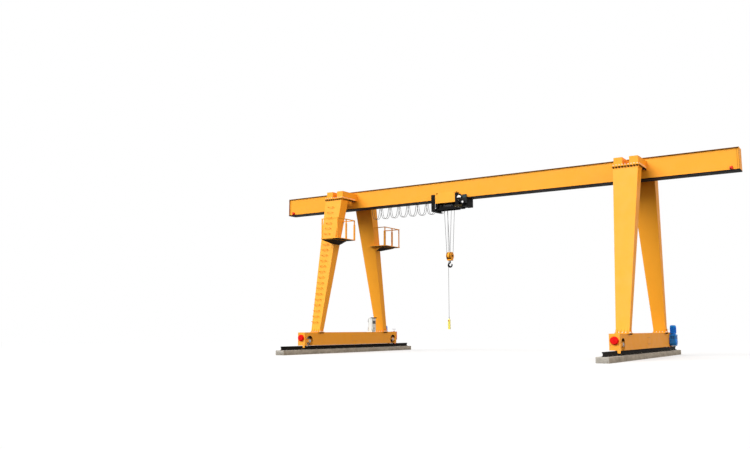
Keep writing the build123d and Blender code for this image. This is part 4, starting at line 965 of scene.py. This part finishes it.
def add_drum_windings():
    """Rope turns on the drum, clear of the rope anchors, out to the end flanges."""
    shape = Shape()
    count, per_turn, pitch = 6, 36, 0.0225
    coil_radius, anchor_gap = 0.1702, 0.052
    for side in BOTH:
        path = []
        for i in range(count * per_turn + 1):
            turn = i / per_turn
            angle = math.pi - 2 * math.pi * turn
            x = HOIST_X + side * (ROPE_TOP_X + anchor_gap + pitch * turn)
            path.append((x, coil_radius * math.cos(angle), DRUM_Z + coil_radius * math.sin(angle)))
        shape.sweep(path, WINDING_RADIUS, 8, ALONG_X)
    piece("drum_windings", shape, "hoist_drum", "wire_rope", smooth=60)


def add_block_fittings():
    """Pin caps, cheek bolts and rope guards of the hook block."""
    caps, bolts = shapes(2)
    cheek_x, guard_half, size = 0.130, 0.125, (0.024, 0.016)
    cap = [(0, 0.056), (0.012, 0.056), (0.016, 0.050), (0.016, 0.034), (0.022, 0.030)]
    for out in BOTH:
        face, axis = HOIST_X + out * cheek_x, (out, 0, 0)
        caps.lathe((face, 0, SHEAVE_Z), axis, cap, 32)
        bolts.bolt_circle((face, 0, SHEAVE_Z), axis, 0.150, turns(6), size)
        bolts.bolt((face, 0, 4.90), axis, *size)
    for y, rise in ((-0.128, 0.148), (0.128, 0.148), (-0.045, 0.19), (0.045, 0.19)):
        z = SHEAVE_Z + rise
        caps.rod((HOIST_X - guard_half, y, z), (HOIST_X + guard_half, y, z), 0.006, 12)
    piece("block_caps", caps, "hook_block", "black_paint")
    piece("block_bolts", bolts, "hook_block", "bolt_steel")


# Trolley numbers: near face of the drives, and the centres of gear and motor
NEAR_Y, PANEL_Y, FRAME_Y = -0.375, 0.355, 0.375
GEAR_X, GEAR_Z = HOIST_X + 0.80, 8.04
MOTOR_X, MOTOR_Z = HOIST_X + 1.03, 7.785
BRAKE_X, HUB_X = HOIST_X - 0.585, HOIST_X + 0.64


def half_ring(first, width, height, lift=0.0):
    """Half an oval about the gear's centre, as (x, z) places."""
    angles = [first + math.pi * i / 24 for i in range(25)]
    return [(GEAR_X + width * math.cos(a), GEAR_Z + lift + height * math.sin(a)) for a in angles]


def add_trolley_drive(bolts):
    """White cowl over the black rim of the cross travel gear, a black half disc below the cowl as painted
    shade, dark plate, motor cap and fins.
    """
    cowl, rim, dark, cap, fins = shapes(5)
    cover_x, towards = 0.112, (0, -1, 0)
    upper = half_ring(0.0, cover_x, 0.120, 0.002)
    cowl.wedge([(x, NEAR_Y - 0.056, z) for x, z in upper], ALONG_Y, 0.016)
    piece("drive_cowl", cowl, "trolley", "bright_cap", bevel=0.004)
    # Painted shade: the lower half of the cover is a black half disc
    painted_shade_half = half_ring(math.pi, cover_x, 0.110)
    rim.wedge([(x, NEAR_Y - 0.053, z) for x, z in painted_shade_half], ALONG_Y, 0.010)
    rim_profile = [(0, 0.195), (0.014, 0.195), (0.018, 0.190)]
    rim.lathe((GEAR_X, NEAR_Y - 0.028, GEAR_Z), towards, rim_profile, 48)
    piece("drive_rim_and_painted_shade", rim, "trolley", "black_paint")
    dark.box((HOIST_X + 1.105, NEAR_Y - 0.058, 8.085), (0.20, 0.006, 0.15))
    piece("drive_dark_plates", dark, "trolley", "teal_paint", bevel=0.002)
    cap_profile = [(0, 0.050), (0.008, 0.050), (0.014, 0.042)]
    cap.lathe((MOTOR_X, NEAR_Y - 0.130, MOTOR_Z), towards, cap_profile, 32)
    piece("motor_end_cap", cap, "trolley", "bright_cap")
    gear_angles = [a for a in turns(10) if abs(math.cos(a)) <= 0.9]
    bolts.bolt_circle((GEAR_X, NEAR_Y - 0.040, GEAR_Z), towards, 0.126, gear_angles, (0.013, 0.009))
    fins.fins((MOTOR_X, NEAR_Y - 0.085, MOTOR_Z), "Y", (0.097, 0, 0), (0.014, 0.075, 0.004), turns(24))
    fins.fins((HOIST_X + 0.68, 0, 7.845), "X", (0, 0.122, 0), (0.28, 0.018, 0.004), turns(28))
    piece("motor_fins", fins, "trolley", "black_paint", smooth=0)


def add_trolley_sides(bolts):
    """Ribbed brake cover, pins and hubs on both end frames, frame bolts and the olive strip."""
    pins, strips, cover = shapes(3)
    cover.box((BRAKE_X, 0, 7.785), (0.145, 0.66, 0.33))
    for k in range(5):
        cover.box((BRAKE_X, 0, 7.68 + k * 0.052), (0.149, 0.666, 0.012))
    piece("brake_cover", cover, "trolley", "black_paint", bevel=0.004)
    pin = [(0, 0.036), (0.012, 0.036), (0.015, 0.032)]
    hub = [(0, 0.034), (0.004, 0.034), (0.005, 0.030)]
    for out in BOTH:
        sideways, face = (0, out, 0), out * PANEL_Y
        pins.lathe((HOIST_X - 0.534, face, 8.372), sideways, pin, 24)
        pins.box((HUB_X, out * 0.368, 8.345), (0.075, 0.012, 0.09))
        pins.lathe((HUB_X, out * 0.370, 8.368), sideways, hub, 24)
        for frame_x, frame_low_z in ((-0.88, 7.44), (0.53, 7.55)):
            xs = [HOIST_X + frame_x + dx for dx in (0.03, 0.19)]
            zs = (frame_low_z + 0.04, frame_low_z + 0.11)
            bolts.bolt_grid(xs, [out * FRAME_Y], zs, sideways, (0.018, 0.012))
        xs = [HOIST_X + dx for dx in (-0.62, -0.36, -0.10, 0.16, 0.42)]
        bolts.bolt_grid(xs, [face], [7.90], sideways, (0.013, 0.009))
    strips.box((HOIST_X + 0.71, NEAR_Y - 0.004, 7.625), (0.46, 0.008, 0.12))
    piece("trolley_pins", pins, "trolley", "edge_brown")
    piece("trolley_side_strip", strips, "trolley", "olive_paint", bevel=0.002, smooth=0)


def add_control_box_fittings():
    """Lid, corner studs and cable glands of the trolley's control box."""
    lid, glands = shapes(2)
    x0, x1, stud_in = HOIST_X + 0.93, HOIST_X + 1.22, 0.03
    gland = [(0, 0.018), (0.012, 0.018), (0.014, 0.014), (0.03, 0.014)]
    for out in BOTH:
        for x in (x0 + stud_in, x1 - stud_in):
            for z in (7.60, 7.97):
                lid.lathe((x, out * 0.35, z), (0, out, 0), [(0, 0.009), (0.004, 0.009)], 12)
    lid.box((x1 + 0.002, 0, 7.785), (0.006, 0.62, 0.36))
    for y in (-0.2, -0.12, -0.04, 0.04, 0.12):
        glands.lathe((x0 + 0.20, y, 7.57), DOWN, gland, 12)
    piece("control_box_lid", lid, "trolley", "black_paint", bevel=0.002)
    piece("control_box_glands", glands, "trolley", "cable_black")


def add_trolley_fittings():
    bolts = Shape()
    add_trolley_drive(bolts)
    add_trolley_sides(bolts)
    piece("trolley_bolts", bolts, "trolley", "bolt_steel")
    add_control_box_fittings()


def add_pendant_fittings():
    """Face plate, stop button, collar, push buttons and rubber boot of the pendant."""
    plate, red, green, black, boot = shapes(5)
    face, towards = PENDANT_Y - 0.0475, (0, -1, 0)
    stop = [(0, 0.014), (0.012, 0.014), (0.012, 0.026), (0.02, 0.026), (0.026, 0.020)]
    button = [(0, 0.012), (0.007, 0.012), (0.009, 0.010)]
    top_row_z, row_pitch, rows, half_gap = 1.655, 0.07, 5, 0.022
    plate.box((PENDANT_X, face - 0.001, 1.50), (0.072, 0.003, 0.38))
    red.lathe((PENDANT_X, face - 0.002, 1.725), towards, stop, 28)
    red.box((PENDANT_X, PENDANT_Y, 1.7805), (0.10, 0.08, 0.004))
    for i in range(rows):
        for out in BOTH:
            target = green if (i, out) == (0, -1) else black
            place = (PENDANT_X + out * half_gap, face - 0.0025, top_row_z - i * row_pitch)
            target.lathe(place, towards, button, 20)
    piece("pendant_plate", plate, "trolley", "pendant_plastic", bevel=0.001, smooth=0)
    piece("pendant_stop", red, "trolley", "red_paint")
    piece("pendant_start", green, "trolley", "green_button")
    piece("pendant_buttons", black, "trolley", "cable_black")
    folds, fold_rise, taper = 6, 0.009, 0.0015
    profile = []
    for i in range(folds):
        low_z = i * fold_rise
        profile += [(low_z, 0.025 - i * taper), (low_z + fold_rise / 2, 0.021 - i * taper)]
    boot.lathe((PENDANT_X, PENDANT_Y, 1.84), UP, profile, 20)
    piece("pendant_boot", boot, "trolley", "cable_black", smooth=50)


def add_carrier_fittings():
    """Clamp and saddle bolts on each cable carrier."""
    for i in range(1, LOOPS):
        bolts = Shape()
        x = FIXED_X + i * LOOP_PITCH
        for out in BOTH:
            bolts.bolt((x + out * 0.045, CABLE_Y, 8.327), (out, 0, 0), 0.018, 0.012)
            for dy in (-0.06, 0.06):
                bolts.bolt((x + out * 0.042, CABLE_Y + dy, 8.268), (out, 0, 0), 0.014, 0.010)
        piece(f"carrier_bolts_{i}", bolts, f"cable_carrier_{i}", "bolt_steel")


add_hoist_ropes()
add_drum_windings()
add_block_fittings()
add_trolley_fittings()
add_pendant_fittings()
add_carrier_fittings()

# Floor, backdrop and lights
FLOOR_REACH = 260.0
FLOOR_SEEN, FLOOR_BOUNCE = (0.92, 0.92, 0.92), (0.06, 0.055, 0.045)
FADE_START, FADE_END, NEAR_GLOW = 14.0, 40.0, 0.62
SKY_LEVEL, SKY_COLOUR, WHITE = 0.62, (0.93, 0.96, 1.0), (1, 1, 1)


def background_rays(tree, path):
    """1 for rays that show the background: seen directly, in gloss or through glass."""
    direct = maths(tree, "MAXIMUM", path.outputs["Is Camera Ray"], path.outputs["Is Transmission Ray"])
    return maths(tree, "MAXIMUM", direct, path.outputs["Is Glossy Ray"])


def show_blend(tree, output, factor, a, b):
    """Blends two shader nodes into the output."""
    blend = add_node(tree, "ShaderNodeMixShader")
    feed(tree, blend, {0: factor, 1: a.outputs[0], 2: b.outputs[0]})
    feed(tree, output, {"Surface": blend.outputs[0]})


def add_stage():
    mesh = bpy.data.meshes.new("floor")
    corners = [(-1, -1), (1, -1), (1, 1), (-1, 1)]
    mesh.from_pydata([(x * FLOOR_REACH, y * FLOOR_REACH, 0) for x, y in corners], [], [(0, 1, 2, 3)])
    floor = add_object("floor", mesh)
    material, tree, shader = new_material("floor")
    path = add_node(tree, "ShaderNodeLightPath")
    colour = mix(tree, path.outputs["Is Camera Ray"], FLOOR_BOUNCE, FLOOR_SEEN)
    feed(tree, shader, {"Base Color": colour, "Roughness": 0.9, "Specular IOR Level": 0.1})
    coords = add_node(tree, "ShaderNodeTexCoord")
    distance = add_node(tree, "ShaderNodeVectorMath", operation="LENGTH")
    feed(tree, distance, {0: coords.outputs["Object"]})
    far = remap(tree, distance.outputs["Value"], FADE_START, FADE_END, NEAR_GLOW, 1.0)
    share = maths(tree, "MULTIPLY", background_rays(tree, path), far)
    glow = add_node(tree, "ShaderNodeEmission", Color=WHITE, Strength=1.0)
    show_blend(tree, tree.nodes["Material Output"], share, shader, glow)
    mesh.materials.append(material)


def add_world():
    world = bpy.data.worlds.new("world")
    scene.world = world
    world.use_nodes = True
    tree = world.node_tree
    tree.nodes.clear()
    output = add_node(tree, "ShaderNodeOutputWorld")
    path = add_node(tree, "ShaderNodeLightPath")
    sky = add_node(tree, "ShaderNodeBackground", Color=SKY_COLOUR, Strength=SKY_LEVEL)
    white = add_node(tree, "ShaderNodeBackground", Color=WHITE, Strength=1.0)
    show_blend(tree, output, background_rays(tree, path), sky, white)


def add_sun(name, energy, direction, angle, colour):
    data = bpy.data.lights.new(name, "SUN")
    data.energy = energy
    data.angle = math.radians(angle)
    data.color = colour
    lamp = add_object(name, data)
    lamp.rotation_mode = "QUATERNION"
    lamp.rotation_quaternion = Vector(direction).to_track_quat("-Z", "Y")


add_stage()
add_world()
add_sun("key", energy=3.2, direction=(0.35, 0.85, -0.60), angle=40.0, colour=(1.0, 0.985, 0.96))
add_sun("fill", energy=1.8, direction=(-0.9, 0.3, -0.2), angle=60.0, colour=(1.0, 0.74, 0.48))
scene.view_settings.view_transform = "Standard"

bpy.context.view_layer.update()
